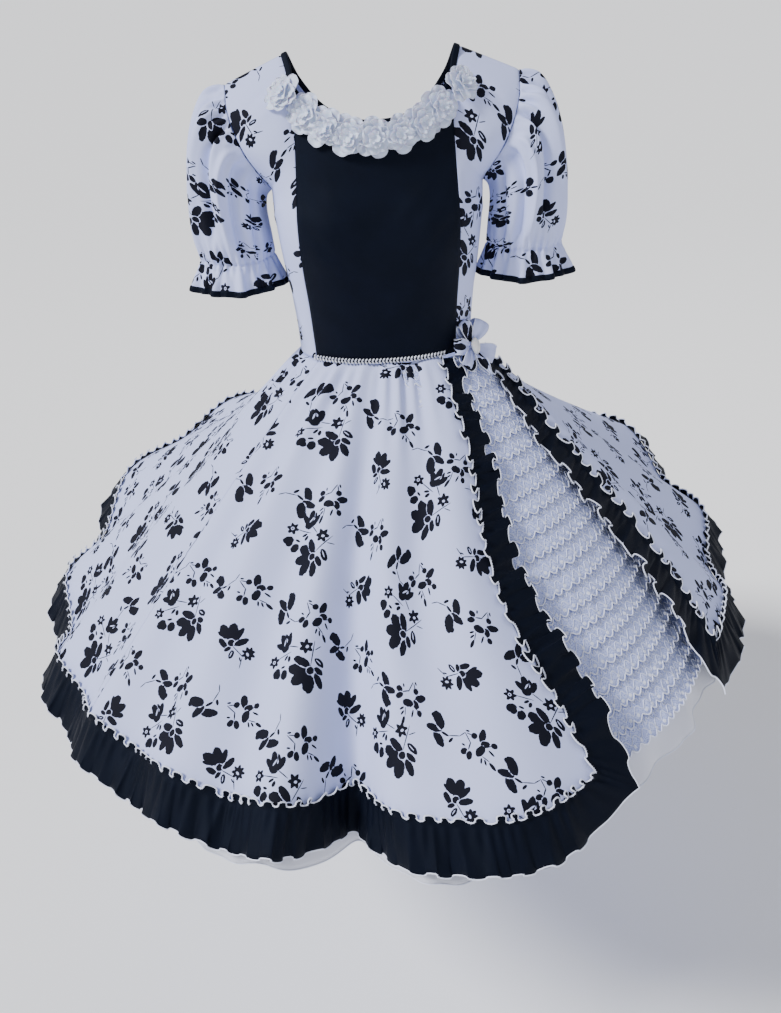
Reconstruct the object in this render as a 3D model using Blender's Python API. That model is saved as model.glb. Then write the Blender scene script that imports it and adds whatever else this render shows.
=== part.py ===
"""A cueca dress, worn-shaped and hollow: fitted bodice, puffed sleeves, gored circle skirt with a
high slit, gathered black ruffle, lace underskirt, petal neck trim, waist braid and bow.

Tables are in millimetres and the mesh is made in metres. The front faces -Y and +Z is up. The
origin lies between the two neck ends of the shoulder seams, where the wearer's shoulders hold it.
Skirt angles are in degrees: 0 is the centre front, 90 the wearer's left side (+X), 180 the back.
"""

import math
from collections import namedtuple

import bmesh
import bpy
import numpy as np
from mathutils import Vector
from mathutils.bvhtree import BVHTree

MM = 0.001

# Cloth and seams
CLOTH = 1.4
THIN_CLOTH = 1.1
SEAM = 0.5
SMOOTH_ANGLE = math.radians(40)

# Bodice
WAIST_Z = -404
NECK_DEPTH_FRONT = 86
NECK_CORNER_Z = -39
BUST_LIFT = 9
BUST_X = 73
BUST_Z = -221
BUST_WIDE = 37
BUST_TALL = 48
CENTRE_COLUMNS = 10
SIDE_COLUMNS = 5
BACK_COLUMNS = 7
UNDERARM_ROW = 6
SHOULDER_TOP_Z = -37
SHOULDER_LOW_Z = -140

# Front rows, waist to shoulder seam. The seam is the princess seam, then the neckline above it.
FrontRow = namedtuple("FrontRow", "centre_y seam_x seam_y seam_z edge_x edge_y edge_z fullness")
FRONT_ROWS = [
    FrontRow(-88, 97, -60, -404, 120, 0, -404, 8),
    FrontRow(-94, 99, -67, -363, 122, 0, -365, 8),
    FrontRow(-102, 101, -77, -321, 126, 0, -323, 9),
    FrontRow(-111, 104, -87, -279, 132, 0, -281, 10),
    FrontRow(-117, 106, -96, -237, 137, 0, -239, 11),
    FrontRow(-116, 107, -95, -200, 140, 0, -206, 12),
    FrontRow(-111, 106, -87, -167, 143, 0, -177, 12),
    FrontRow(-104, 105, -79, -135, 153, -35, -153, 8),
    FrontRow(-98, 104, -70, -102, 171, -50, -119, 8),
    FrontRow(-94, 103, -60, -70, 184, -45, -87, 7),
    FrontRow(-91, 103, -47, NECK_CORNER_Z, 192, -28, -61, 6),
    FrontRow(None, 111, -20, -15, 194, -7, -44, 3),
    FrontRow(None, 116, 4, 0, 195, 6, -35, 0),
]

# Back rows, waist to shoulder seam. The inner end is the centre back, then the back neckline.
BackRow = namedtuple("BackRow", "inner_x inner_y inner_z edge_x edge_y edge_z fullness")
BACK_ROWS = [
    BackRow(0, 80, -404, 120, 0, -404, 30),
    BackRow(0, 78, -363, 122, 0, -365, 31),
    BackRow(0, 80, -321, 126, 0, -323, 32),
    BackRow(0, 85, -279, 132, 0, -281, 33),
    BackRow(0, 90, -237, 137, 0, -239, 33),
    BackRow(0, 95, -200, 140, 0, -206, 34),
    BackRow(0, 98, -166, 143, 0, -177, 35),
    BackRow(0, 100, -140, 155, 37, -152, 22),
    BackRow(0, 100, -115, 172, 53, -119, 14),
    BackRow(42, 97, -109, 183, 49, -91, 9),
    BackRow(79, 85, -82, 190, 37, -67, 7),
    BackRow(105, 54, -39, 193, 20, -48, 4),
    BackRow(116, 4, 0, 195, 6, -35, 0),
]

# Sleeves: a tube from the armhole ring to the gathered cuff, then a short frill
SLEEVE_COLUMNS = 30
SLEEVE_WAVES = 10
SLEEVE_ROWS = 6
CUFF_X = 199
CUFF_Z = -265
CUFF_HALF_WIDE = 51
CUFF_HALF_DEEP = 56
SLEEVE_HEAD_PUSH = 46
SLEEVE_CUFF_PUFF = 19
SLEEVE_CUFF_RISE = 51
SLEEVE_GATHER = 3.6
UNDERARM_AWAY = (0.6, 0.0, 0.8)
BINDING_HIGH = 7
BINDING_DEEP = 3.2
FrillRow = namedtuple("FrillRow", "drop flare wave")
FRILL_ROWS = [FrillRow(16, 5, 4), FrillRow(35, 11, 6)]

# Skirt cloth edge at the hem, all round. A negative bulge is a slope that hollows towards the hem.
HemRow = namedtuple("HemRow", "angle radius z bulge")
HEM_ROWS = [
    HemRow(-180, 565, -705, -18),
    HemRow(-160, 568, -702, -22),
    HemRow(-142, 574, -702, -26),
    HemRow(-125, 560, -752, -22),
    HemRow(-105, 538, -808, -8),
    HemRow(-88, 520, -828, 4),
    HemRow(-65, 510, -820, 8),
    HemRow(-45, 512, -814, 12),
    HemRow(-28, 514, -820, 14),
    HemRow(0, 510, -830, 14),
    HemRow(16, 528, -836, 16),
    HemRow(28, 515, -812, 14),
    HemRow(45, 505, -800, 12),
    HemRow(65, 488, -797, 8),
    HemRow(88, 490, -800, 2),
    HemRow(105, 512, -788, -4),
    HemRow(125, 545, -752, -12),
    HemRow(142, 562, -718, -18),
    HemRow(160, 566, -705, -22),
    HemRow(180, 565, -705, -18),
]
SKIRT_ROWS = 7
BELL_EASE = 0.8
FOLD_EASE = 1.5

# Gores, each from its first to its last hem angle, with the number of columns
Gore = namedtuple("Gore", "name first last columns")
GORES = [
    Gore("skirt_front", 27, -56, 25),
    Gore("skirt_right", -56, -140, 20),
    Gore("skirt_back", -140, -226, 19),
    Gore("skirt_left", -226, -298, 16),
]

# How far the two slit edges swing from their hem angle on the way up, and over how many degrees
SlitRow = namedtuple("SlitRow", "share front_swing back_swing")
SLIT_ROWS = [
    SlitRow(0.0, 18, 22),
    SlitRow(0.12, 9, 17),
    SlitRow(0.25, 3, 9),
    SlitRow(0.4, -3, 7),
    SlitRow(0.5, -5, 6),
    SlitRow(0.62, -5, 6),
    SlitRow(0.8, -2, 4),
    SlitRow(1.0, 0, 0),
]
SWING_REACH = 45

# Soft folds of the skirt: angle, half width in degrees, depth at the hem (ridges are positive)
Fold = namedtuple("Fold", "angle half_width depth")
SKIRT_FOLDS = [
    Fold(13, 10, 22),
    Fold(-9, 5, -14),
    Fold(-17, 4.5, 16),
    Fold(-25, 4, -8),
    Fold(-34, 5, 10),
    Fold(-43, 5, -12),
    Fold(-53, 5, 12),
    Fold(-63, 5, -13),
    Fold(-74, 6, 13),
    Fold(-86, 6, -15),
    Fold(-99, 6, 15),
    Fold(-112, 6, -16),
    Fold(-125, 6, 15),
    Fold(-138, 6, -16),
    Fold(-151, 6, 15),
    Fold(-164, 6, -16),
    Fold(-177, 6, 15),
    Fold(-190, 6, -16),
    Fold(-203, 6, 15),
    Fold(-216, 6, -16),
    Fold(-229, 6, 15),
    Fold(-242, 6, -15),
    Fold(-255, 6, 14),
    Fold(-268, 6, -12),
    Fold(-281, 6, 8),
]

# One deep fold, where the hem is pushed back towards the dress
VALLEY_ANGLE = -8.5
VALLEY_HALF_WIDTH = 5
VALLEY_DEPTH = 62
VALLEY_EASE = 2.6

# Ruffle: a strip down the slit's front edge, strips round the hem and one up the slit's back edge
WAVE_PITCH = 32
COLUMNS_PER_WAVE = 3
RUFFLE_HEADER = 9
RUFFLE_STITCH = 1
RUFFLE_HEM_WIDTH = 58
RUFFLE_TOP_WIDTH = 18
RUFFLE_HEADER_WAVE = 2.4
RUFFLE_EDGE_WAVE = 9
RUFFLE_LIFT = 2.2
RUFFLE_CLEAR = 0.6
RUFFLE_DROOP = 0.45
MITRE_REACH = 90
MITRE_ROUND = 0.72
MITRE_GAP = 1.6
SLIT_TOP_CLEAR = 12

# Underskirt, its lace tiers where the slit shows them, and its organza flounce
UNDER_COLUMNS = 38
UNDER_ROWS = 5
UNDER_GAP_TOP = 2.3
UNDER_GAP_HEM = 30
UNDER_FOLD_SHARE = 0.6
UNDER_FIRST = 0.006
UNDER_LAST = 1.0
LACE_TIERS = 10
LACE_COLUMNS = 12
LACE_FIRST_ANGLE = 12
LACE_LAST_ANGLE = 92
LACE_STEP = 4.2
FLOUNCE_WAVES = 24
FLOUNCE_WIDTH = 38
FLOUNCE_FRONT_ANGLE = -14
FLOUNCE_FRONT_HALF_WIDTH = 40
FLOUNCE_FRONT_MORE = 30
FLOUNCE_WAVE = 7
FLOUNCE_DROOP = 0.5

# Petal trim: flowers along the front neckline
FLOWER_COUNT = 9
FLOWER_PETALS = 5
FLOWER_NARROW = 0.56
FLOWER_INSET = 13
FLOWER_CLEAR = 0.6
FlowerRing = namedtuple("FlowerRing", "radius scallop height")
FLOWER_RINGS = [
    FlowerRing(8, 0, 8),
    FlowerRing(14, 2.5, 10.5),
    FlowerRing(13, 1.5, 5),
    FlowerRing(20.5, 1.6, 3.6),
    FlowerRing(17, 1, 0.6),
]

# Waist braid
BRAID_HIGH = 6
BRAID_DEEP = 3.2
BRAID_GAP = 0.8
BRAID_FIRST_ANGLE = -58
BRAID_LAST_ANGLE = 41
BRAID_STATIONS = 24

# Bow on the wearer's left of the waist, over the top of the slit
BOW_ANGLE = 68
BOW_FACING = 36
BOW_TILT = 0.3
BOW_DROP = -2
BOW_CLEAR = 0.6
Loop = namedtuple("Loop", "turn length wide belly lean")
BOW_LOOPS = [
    Loop(104, 30, 22, 8, 4),
    Loop(44, 28, 20, 8, 3),
    Loop(-14, 26, 19, 8, 3),
    Loop(166, 28, 20, 8, 3),
    Loop(-72, 34, 19, 6, 9),
    Loop(-132, 30, 18, 6, 8),
]
LOOP_STEPS = 10
LOOP_START = 7.2
LOOP_ROOT = 0.39
BUTTON_HALF_HIGH = 12
BUTTON_HALF_WIDE = 7
BUTTON_DEEP = 5
BUTTON_SEGMENTS = 12
BUTTON_RINGS = 6

MATERIALS = {
    "printed_cloth": ((0.72, 0.74, 0.86, 1), 0.7),
    "black_cloth": ((0.012, 0.014, 0.03, 1), 0.75),
    "lace": ((0.74, 0.77, 0.9, 1), 0.6),
    "organza": ((0.8, 0.82, 0.9, 1), 0.4),
    "chiffon": ((0.78, 0.81, 0.9, 1), 0.6),
    "braid": ((0.7, 0.7, 0.76, 1), 0.35),
    "button": ((0.75, 0.76, 0.8, 1), 0.25),
}


def clear_scene():
    for item in list(bpy.data.objects):
        bpy.data.objects.remove(item, do_unlink=True)


def make_materials():
    made = {}
    for name, (colour, roughness) in MATERIALS.items():
        material = bpy.data.materials.new(name)
        material.use_nodes = True
        shader = material.node_tree.nodes["Principled BSDF"]
        shader.inputs["Base Color"].default_value = colour
        shader.inputs["Roughness"].default_value = roughness
        shader.inputs["Metallic"].default_value = 0.0
        material.diffuse_color = colour
        made[name] = material
    return made


def unit(vectors):
    """Each vector of the array at length one."""
    vectors = np.asarray(vectors, float)
    return vectors / np.linalg.norm(vectors, axis=-1, keepdims=True)


def bell(distance, half_width):
    """A smooth bump: one at the middle, fading with the distance from it."""
    return np.exp(-((distance / half_width) ** 2))


def ease(x):
    """Zero below 0, one above 1 and smooth in between."""
    x = np.clip(x, 0, 1)
    return x * x * (3 - 2 * x)


def smooth_lookup(at, xs, ys):
    """The value at each point on a smooth curve through the table's points."""
    xs = np.asarray(xs, float)
    ys = np.asarray(ys, float)
    slopes = np.gradient(ys, xs)
    at = np.clip(at, xs[0], xs[-1])
    right = np.clip(np.searchsorted(xs, at), 1, len(xs) - 1)
    left = right - 1
    span = xs[right] - xs[left]
    t = (at - xs[left]) / span
    start = ys[left] * (1 + 2 * t) * (1 - t) ** 2 + slopes[left] * span * t * (1 - t) ** 2
    end = ys[right] * t * t * (3 - 2 * t) - slopes[right] * span * t * t * (1 - t)
    return start + end


def grid_normals(grid, ring):
    """Unit normals of a grid of points, rows by columns, pointing away from the dress's axis."""
    across = np.gradient(grid, axis=1)
    if ring:
        across = (np.roll(grid, -1, axis=1) - np.roll(grid, 1, axis=1)) / 2
    along = np.gradient(grid, axis=0)
    normals = unit(np.cross(across, along))
    away = grid - grid.mean(axis=(0, 1))
    if ring:
        away = grid - grid.mean(axis=1, keepdims=True)
    return normals if (normals * away).sum() > 0 else -normals


def add_object(name, points, faces, material, collection):
    """A closed mesh from points in millimetres, with its faces turned outwards."""
    mesh = bpy.data.meshes.new(name)
    mesh.from_pydata((np.asarray(points, float) * MM).tolist(), [], faces)
    work = bmesh.new()
    work.from_mesh(mesh)
    bmesh.ops.recalc_face_normals(work, faces=work.faces)
    work.to_mesh(mesh)
    work.free()
    mesh.shade_smooth()
    mesh.set_sharp_from_angle(angle=SMOOTH_ANGLE)
    mesh.materials.append(material)
    made = bpy.data.objects.new(name, mesh)
    collection.objects.link(made)
    return made


def wall(name, outer, inner, material, collection, ring=False):
    """One closed wall of cloth between an outer and an inner grid of points. Both faces are cut
    along the same diagonals, so a twisted wall keeps its thickness."""
    rows, columns = outer.shape[:2]
    below = rows * columns
    faces = []
    steps = columns if ring else columns - 1
    for i in range(rows - 1):
        for j in range(steps):
            k = (j + 1) % columns
            a, b = i * columns + j, i * columns + k
            c, d = (i + 1) * columns + k, (i + 1) * columns + j
            faces += [(a, b, c), (a, c, d)]
            faces += [(below + a, below + c, below + b), (below + a, below + d, below + c)]
    for j in range(steps):
        k = (j + 1) % columns
        last = (rows - 1) * columns
        faces.append((below + j, below + k, k, j))
        faces.append((last + j, last + k, below + last + k, below + last + j))
    for i in range(0 if ring else rows - 1):
        a, b = i * columns, (i + 1) * columns
        right = columns - 1
        faces.append((a, b, below + b, below + a))
        faces.append((below + a + right, below + b + right, b + right, a + right))
    points = np.concatenate([outer.reshape(-1, 3), inner.reshape(-1, 3)])
    return add_object(name, points, faces, material, collection)


def mirrored(grid):
    return grid * np.array([-1.0, 1.0, 1.0])


def seamed(grid, left, right):
    """A copy of a grid with its side columns drawn in by half a seam where a panel joins it."""
    panel = grid.copy()
    if left:
        panel[:, 0] += unit(grid[:, 1] - grid[:, 0]) * SEAM / 2
    if right:
        panel[:, -1] += unit(grid[:, -2] - grid[:, -1]) * SEAM / 2
    return panel


def cover_of(objects):
    """A search tree of the meshes of some objects, to find how far they stand up."""
    points = []
    faces = []
    for item in objects:
        start = len(points)
        points += [vertex.co / MM for vertex in item.data.vertices]
        faces += [[start + k for k in face.vertices] for face in item.data.polygons]
    return BVHTree.FromPolygons(points, faces)


def highest_under(cover, points, out, centre):
    """The greatest height, measured along out from the centre, of what lies under the points."""
    heights = []
    for point in points:
        hit = cover.ray_cast(Vector(point + out * 80), Vector(-out), 160)[0]
        if hit is not None:
            heights.append(np.dot(np.array(hit) - centre, out))
    return max(heights)


# Bodice


def bodice_outward(points):
    """The direction in which the bodice's wall is thick: away from the trunk, upwards on a shoulder."""
    rise = ease((points[..., 2] - SHOULDER_LOW_Z) / (SHOULDER_TOP_Z - SHOULDER_LOW_Z))
    core = np.zeros_like(points)
    core[..., 0] = points[..., 0] * 0.75 * rise
    core[..., 2] = points[..., 2] * (1 - rise) + SHOULDER_LOW_Z * rise
    return unit(points - core)


def with_bust(points):
    """The same points, pushed forward over the bust by the cut of the front panels."""
    moved = points.copy()
    across = bell(np.abs(points[..., 0]) - BUST_X, BUST_WIDE)
    up = bell(points[..., 2] - BUST_Z, BUST_TALL)
    moved[..., 1] -= BUST_LIFT * across * up
    return moved


def neckline_z(share):
    """Height of the front neckline over the centre panel, from -1 at one seam to 1 at the other."""
    return -NECK_DEPTH_FRONT + (NECK_CORNER_Z + NECK_DEPTH_FRONT) * np.abs(share) ** 2.6


def centre_front_grid():
    rows = [row for row in FRONT_ROWS if row.centre_y is not None]
    share = np.linspace(-1, 1, CENTRE_COLUMNS + 1)
    grid = np.zeros((len(rows), len(share), 3))
    for i, row in enumerate(rows):
        rise = (row.seam_z - WAIST_Z) / (NECK_CORNER_Z - WAIST_Z)
        grid[i, :, 0] = (row.seam_x - SEAM / 2) * share
        grid[i, :, 1] = row.centre_y + (row.seam_y - row.centre_y) * np.abs(share) ** 2.4
        grid[i, :, 2] = row.seam_z + (neckline_z(share) - NECK_CORNER_Z) * rise**2
    return with_bust(grid)


def bowed_row(inner, edge, fullness, columns, side):
    """Points from an inner point to an edge point, bowed away from the trunk by the fullness."""
    inner = np.asarray(inner, float)
    edge = np.asarray(edge, float)
    share = np.linspace(0, 1, columns + 1)[:, None]
    chord = edge - inner
    outward = unit(np.array([chord[1], -chord[0], 0.0]) * side)
    return inner + chord * share + outward * fullness * 4 * share * (1 - share)


def side_front_grid():
    grid = []
    for i, row in enumerate(FRONT_ROWS):
        inner = (row.seam_x + SEAM / 2, row.seam_y, row.seam_z)
        edge_y = row.edge_y - (SEAM / 2 if i <= UNDERARM_ROW or i == len(FRONT_ROWS) - 1 else 0)
        edge = (row.edge_x, edge_y, row.edge_z)
        grid.append(bowed_row(inner, edge, row.fullness, SIDE_COLUMNS, 1))
    return with_bust(np.array(grid))


def back_grid():
    grid = []
    top = len(BACK_ROWS) - 1
    for i, row in enumerate(BACK_ROWS):
        inner_y = row.inner_y + (SEAM / 2 if i == top else 0)
        inner = (max(row.inner_x, SEAM / 2), inner_y, row.inner_z)
        edge_y = row.edge_y + (SEAM / 2 if i <= UNDERARM_ROW or i == top else 0)
        edge = (row.edge_x, edge_y, row.edge_z)
        grid.append(bowed_row(inner, edge, row.fullness, BACK_COLUMNS, -1))
    return np.array(grid)


def add_bodice(materials, collection):
    centre = centre_front_grid()
    side = side_front_grid()
    back = back_grid()
    panels = [
        ("bodice_centre_front", centre, "black_cloth"),
        ("bodice_side_front_left", side, "printed_cloth"),
        ("bodice_side_front_right", mirrored(side), "printed_cloth"),
        ("bodice_back_left", back, "printed_cloth"),
        ("bodice_back_right", mirrored(back), "printed_cloth"),
    ]
    for name, outer, cloth in panels:
        inner = outer - bodice_outward(outer) * CLOTH
        wall(name, outer, inner, materials[cloth], collection)


# Bindings and other narrow bands


def band(name, path, up, out, high, deep, material, collection, ring):
    """A narrow band of four-sided section along a path, with its up and out directions."""
    corners = [(0, -0.5), (0, 0.5), (1, 0.5), (1, -0.5)]
    rows = [path + up * high * a + out * deep * b for a, b in corners]
    grid = np.stack(rows)
    stations = len(path)
    faces = []
    for i in range(4):
        for j in range(stations if ring else stations - 1):
            k = (j + 1) % stations
            n = (i + 1) % 4
            faces.append((i * stations + j, i * stations + k, n * stations + k, n * stations + j))
    if not ring:
        faces.append(tuple(i * stations for i in range(4)))
        faces.append(tuple(i * stations + stations - 1 for i in reversed(range(4))))
    return add_object(name, grid.reshape(-1, 3), faces, material, collection)


def neckline_half():
    """Left half of the neckline from the centre front over the shoulder to the centre back, with
    the direction that points out of the cloth's edge at each station."""
    centre = centre_front_grid()
    side = side_front_grid()
    back = back_grid()
    middle = CENTRE_COLUMNS // 2
    corner = len([row for row in FRONT_ROWS if row.centre_y is not None]) - 1
    front = [centre[-1, j] for j in range(middle, CENTRE_COLUMNS)]
    front_away = [centre[-1, j] - centre[-2, j] for j in range(middle, CENTRE_COLUMNS)]
    over = [side[i, 0] for i in range(corner, len(FRONT_ROWS))]
    over_away = [side[i, 0] - side[i, 1] for i in range(corner, len(FRONT_ROWS))]
    over_away[0] = over_away[0] + front_away[-1]
    first = next(i for i, row in enumerate(BACK_ROWS) if row.inner_x > 0) - 1
    behind = [back[i, 0] for i in range(len(BACK_ROWS) - 2, first - 1, -1)]
    behind_away = []
    for i in range(len(BACK_ROWS) - 2, first - 1, -1):
        along = back[min(i + 1, len(BACK_ROWS) - 1), 0] - back[i, 0]
        surface = np.cross(bodice_outward(back[i, 0]), along)
        behind_away.append(-surface if np.dot(surface, (0, 0, 1)) < 0 else surface)
    points = np.array(front + over + behind)
    away = unit(np.array([unit(v) for v in front_away + over_away + behind_away]))
    return points, away


def full_neckline():
    """The whole neckline as a ring, centre front first, going over the wearer's left shoulder."""
    points, away = neckline_half()
    points[0, 0] = 0
    points[-1, 0] = 0
    away[0, 0] = 0
    away[-1, 0] = 0
    points = np.concatenate([points, mirrored(points[1:-1][::-1])])
    away = np.concatenate([away, mirrored(away[1:-1][::-1])])
    return points, unit(away)


def add_neck_binding(materials, collection):
    points, away = full_neckline()
    outward = bodice_outward(points)
    base = points + away * SEAM * 1.4 - outward * CLOTH / 2
    band(
        "neck_binding", base, away, outward, BINDING_HIGH, BINDING_DEEP,
        materials["black_cloth"], collection, True,
    )


# Sleeves


def armhole_ring():
    """The left armhole from the underarm up the front, over the shoulder and down the back, with
    the direction in which the bodice's cloth leaves each point."""
    side = side_front_grid()
    back = back_grid()
    top = len(FRONT_ROWS) - 1
    front = [(side[i, -1], side[i, -2]) for i in range(UNDERARM_ROW, top + 1)]
    behind = [(back[i, -1], back[i, -2]) for i in range(top - 1, UNDERARM_ROW, -1)]
    edge = np.array([pair[0] for pair in front + behind])
    away = unit(edge - np.array([pair[1] for pair in front + behind]))
    away[0] = UNDERARM_AWAY
    return edge, away


def ring_steps(points, count):
    """Positions round a ring that keep its own corners and cut its sides into similar steps."""
    sides = np.linalg.norm(np.roll(points, -1, axis=0) - points, axis=1)
    cuts = np.maximum(1, np.round(sides / sides.sum() * count).astype(int))
    while cuts.sum() != count:
        size = sides / cuts
        cuts[size.argmax() if cuts.sum() < count else size.argmin()] += np.sign(count - cuts.sum())
    return np.concatenate([i + np.arange(n) / n for i, n in enumerate(cuts)])


def along_ring(values, at):
    first = at.astype(int)
    share = (at - first)[:, None]
    return values[first] * (1 - share) + values[(first + 1) % len(values)] * share


def sleeve_walls():
    """Outer and inner rows of the left sleeve, from the armhole to the frill's edge."""
    edge, away = armhole_ring()
    at = ring_steps(edge, SLEEVE_COLUMNS)
    start = along_ring(edge + away * SEAM, at)
    steps = np.linalg.norm(np.roll(start, -1, axis=0) - start, axis=1)
    turn = 2 * math.pi * np.concatenate([[0], np.cumsum(steps)[:-1]]) / steps.sum()
    outer_share = (1 - np.cos(turn)) / 2
    radial = np.stack([-np.cos(turn), -np.sin(turn), np.zeros_like(turn)], axis=1)
    cuff = radial * (CUFF_HALF_WIDE, CUFF_HALF_DEEP, 0) + (CUFF_X, 0, CUFF_Z)
    head = start.copy()
    head[:, 0] += 20 + SLEEVE_HEAD_PUSH * outer_share
    head[:, 1] -= 26 * np.sin(turn)
    head[:, 2] += 10 * outer_share - 9 * (1 - outer_share)
    low = cuff + radial * (SLEEVE_CUFF_PUFF * (0.25 + 0.75 * outer_share))[:, None]
    low[:, 2] += SLEEVE_CUFF_RISE * (0.35 + 0.9 * outer_share)
    wave = np.sin(turn * SLEEVE_WAVES)
    rows = []
    for share in np.linspace(0, 1, SLEEVE_ROWS + 1):
        weights = [(1 - share) ** 3, 3 * share * (1 - share) ** 2, 3 * share**2 * (1 - share), share**3]
        row = sum(w * p for w, p in zip(weights, (start, head, low, cuff)))
        at_head = bell(share - 0.16, 0.1) * ease(outer_share * 1.6 - 0.3)
        at_cuff = bell(share - 1, 0.2)
        row = row + radial * (SLEEVE_GATHER * wave * (at_head + at_cuff * 0.8) * (share > 0))[:, None]
        rows.append(row)
    lobes = np.sin(turn * 5 + 0.7)
    for frill in FRILL_ROWS:
        out = frill.flare + frill.wave * (0.55 * wave + 0.45 * lobes)
        row = cuff + radial * out[:, None]
        row[:, 2] -= frill.drop
        rows.append(row)
    outer = np.array(rows)
    inner = outer - grid_normals(outer, True) * CLOTH
    return outer, inner


def add_sleeves(materials, collection):
    outer, inner = sleeve_walls()
    out = unit(outer[-1] - inner[-1])
    down = unit(outer[-1] - outer[-2])
    edge = (outer[-1] + inner[-1]) / 2 + down * SEAM
    for side, turned in (("left", lambda g: g), ("right", mirrored)):
        wall(f"sleeve_{side}", turned(outer), turned(inner), materials["printed_cloth"], collection, True)
        band(
            f"sleeve_binding_{side}", turned(edge), turned(down), turned(out), BINDING_HIGH,
            BINDING_DEEP, materials["black_cloth"], collection, True,
        )


# Skirt


def waist_radius(angle):
    """Distance from the axis to the bodice's lower edge, in the direction of a skirt angle."""
    centre = centre_front_grid()[0]
    side = side_front_grid()[0]
    back = back_grid()[0][::-1]
    half = np.concatenate([centre[CENTRE_COLUMNS // 2 :], side, back])
    angles = np.degrees(np.arctan2(half[:, 0], -half[:, 1]))
    radii = np.hypot(half[:, 0], half[:, 1])
    order = np.argsort(angles)
    return np.interp(np.abs(wrapped(angle)), angles[order], radii[order])


def wrapped(angle):
    return (np.asarray(angle, float) + 180) % 360 - 180


def hem_value(angle, column):
    angles = [row.angle for row in HEM_ROWS]
    values = [getattr(row, column) for row in HEM_ROWS]
    return smooth_lookup(wrapped(angle), angles, values)


def fold_depth(angle, share):
    """Height of the soft folds over the plain bell at an angle, growing towards the hem."""
    total = np.zeros(np.broadcast(angle, share).shape)
    for fold in SKIRT_FOLDS:
        total = total + fold.depth * bell(wrapped(angle - fold.angle), fold.half_width)
    return total * np.clip(share, 0, 2) ** FOLD_EASE


def bell_point(angle, share, stand=0.0):
    """A point of the skirt's bell at an angle and a share of the way from waist to hem, moved out
    of its surface by the stand."""
    first = waist_radius(angle)
    across = hem_value(angle, "radius") - first
    down = hem_value(angle, "z") - (WAIST_Z - SEAM)
    length = np.hypot(across, down)
    bulge = hem_value(angle, "bulge") * np.sin(math.pi * np.clip(share, 0, 1) ** BELL_EASE)
    out = bulge + stand
    valley = VALLEY_DEPTH * bell(wrapped(angle - VALLEY_ANGLE), VALLEY_HALF_WIDTH)
    pushed = valley * np.clip(share, 0, 2) ** VALLEY_EASE
    radius = first + across * share - down / length * out - pushed
    height = WAIST_Z - SEAM + down * share + across / length * out
    turn = np.radians(angle)
    return np.stack([radius * np.sin(turn), -radius * np.cos(turn), height], axis=-1)


def swung(hem_angle, share):
    """The angle of a column of the skirt on its way up from its hem angle."""
    shares = [row.share for row in SLIT_ROWS]
    front = smooth_lookup(share, shares, [row.front_swing for row in SLIT_ROWS])
    back = smooth_lookup(share, shares, [row.back_swing for row in SLIT_ROWS])
    near_front = ease(1 - (GORES[0].first - hem_angle) / SWING_REACH)
    near_back = ease(1 - (hem_angle - GORES[-1].last) / SWING_REACH)
    return hem_angle + front * near_front + back * near_back


def skirt_columns():
    """Hem angles of every column, from the slit's front edge round to its back edge."""
    columns = [np.linspace(g.first, g.last, g.columns + 1)[:-1] for g in GORES]
    return np.concatenate(columns + [[GORES[-1].last]])


def skirt_grid():
    hem_angles = skirt_columns()[None, :]
    share = np.linspace(0, 1, SKIRT_ROWS + 1)[:, None]
    angle = swung(hem_angles, share)
    return bell_point(angle, share + 0 * angle, fold_depth(angle, share))


def add_skirt(materials, collection):
    outer = skirt_grid()
    inner = outer - grid_normals(outer, False) * CLOTH
    start = 0
    for gore in GORES:
        end = start + gore.columns
        sides = (gore is not GORES[0], gore is not GORES[-1])
        pair = [seamed(grid[:, start : end + 1], *sides) for grid in (outer, inner)]
        wall(gore.name, pair[0], pair[1], materials["printed_cloth"], collection)
        start = end


# Ruffle


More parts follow.
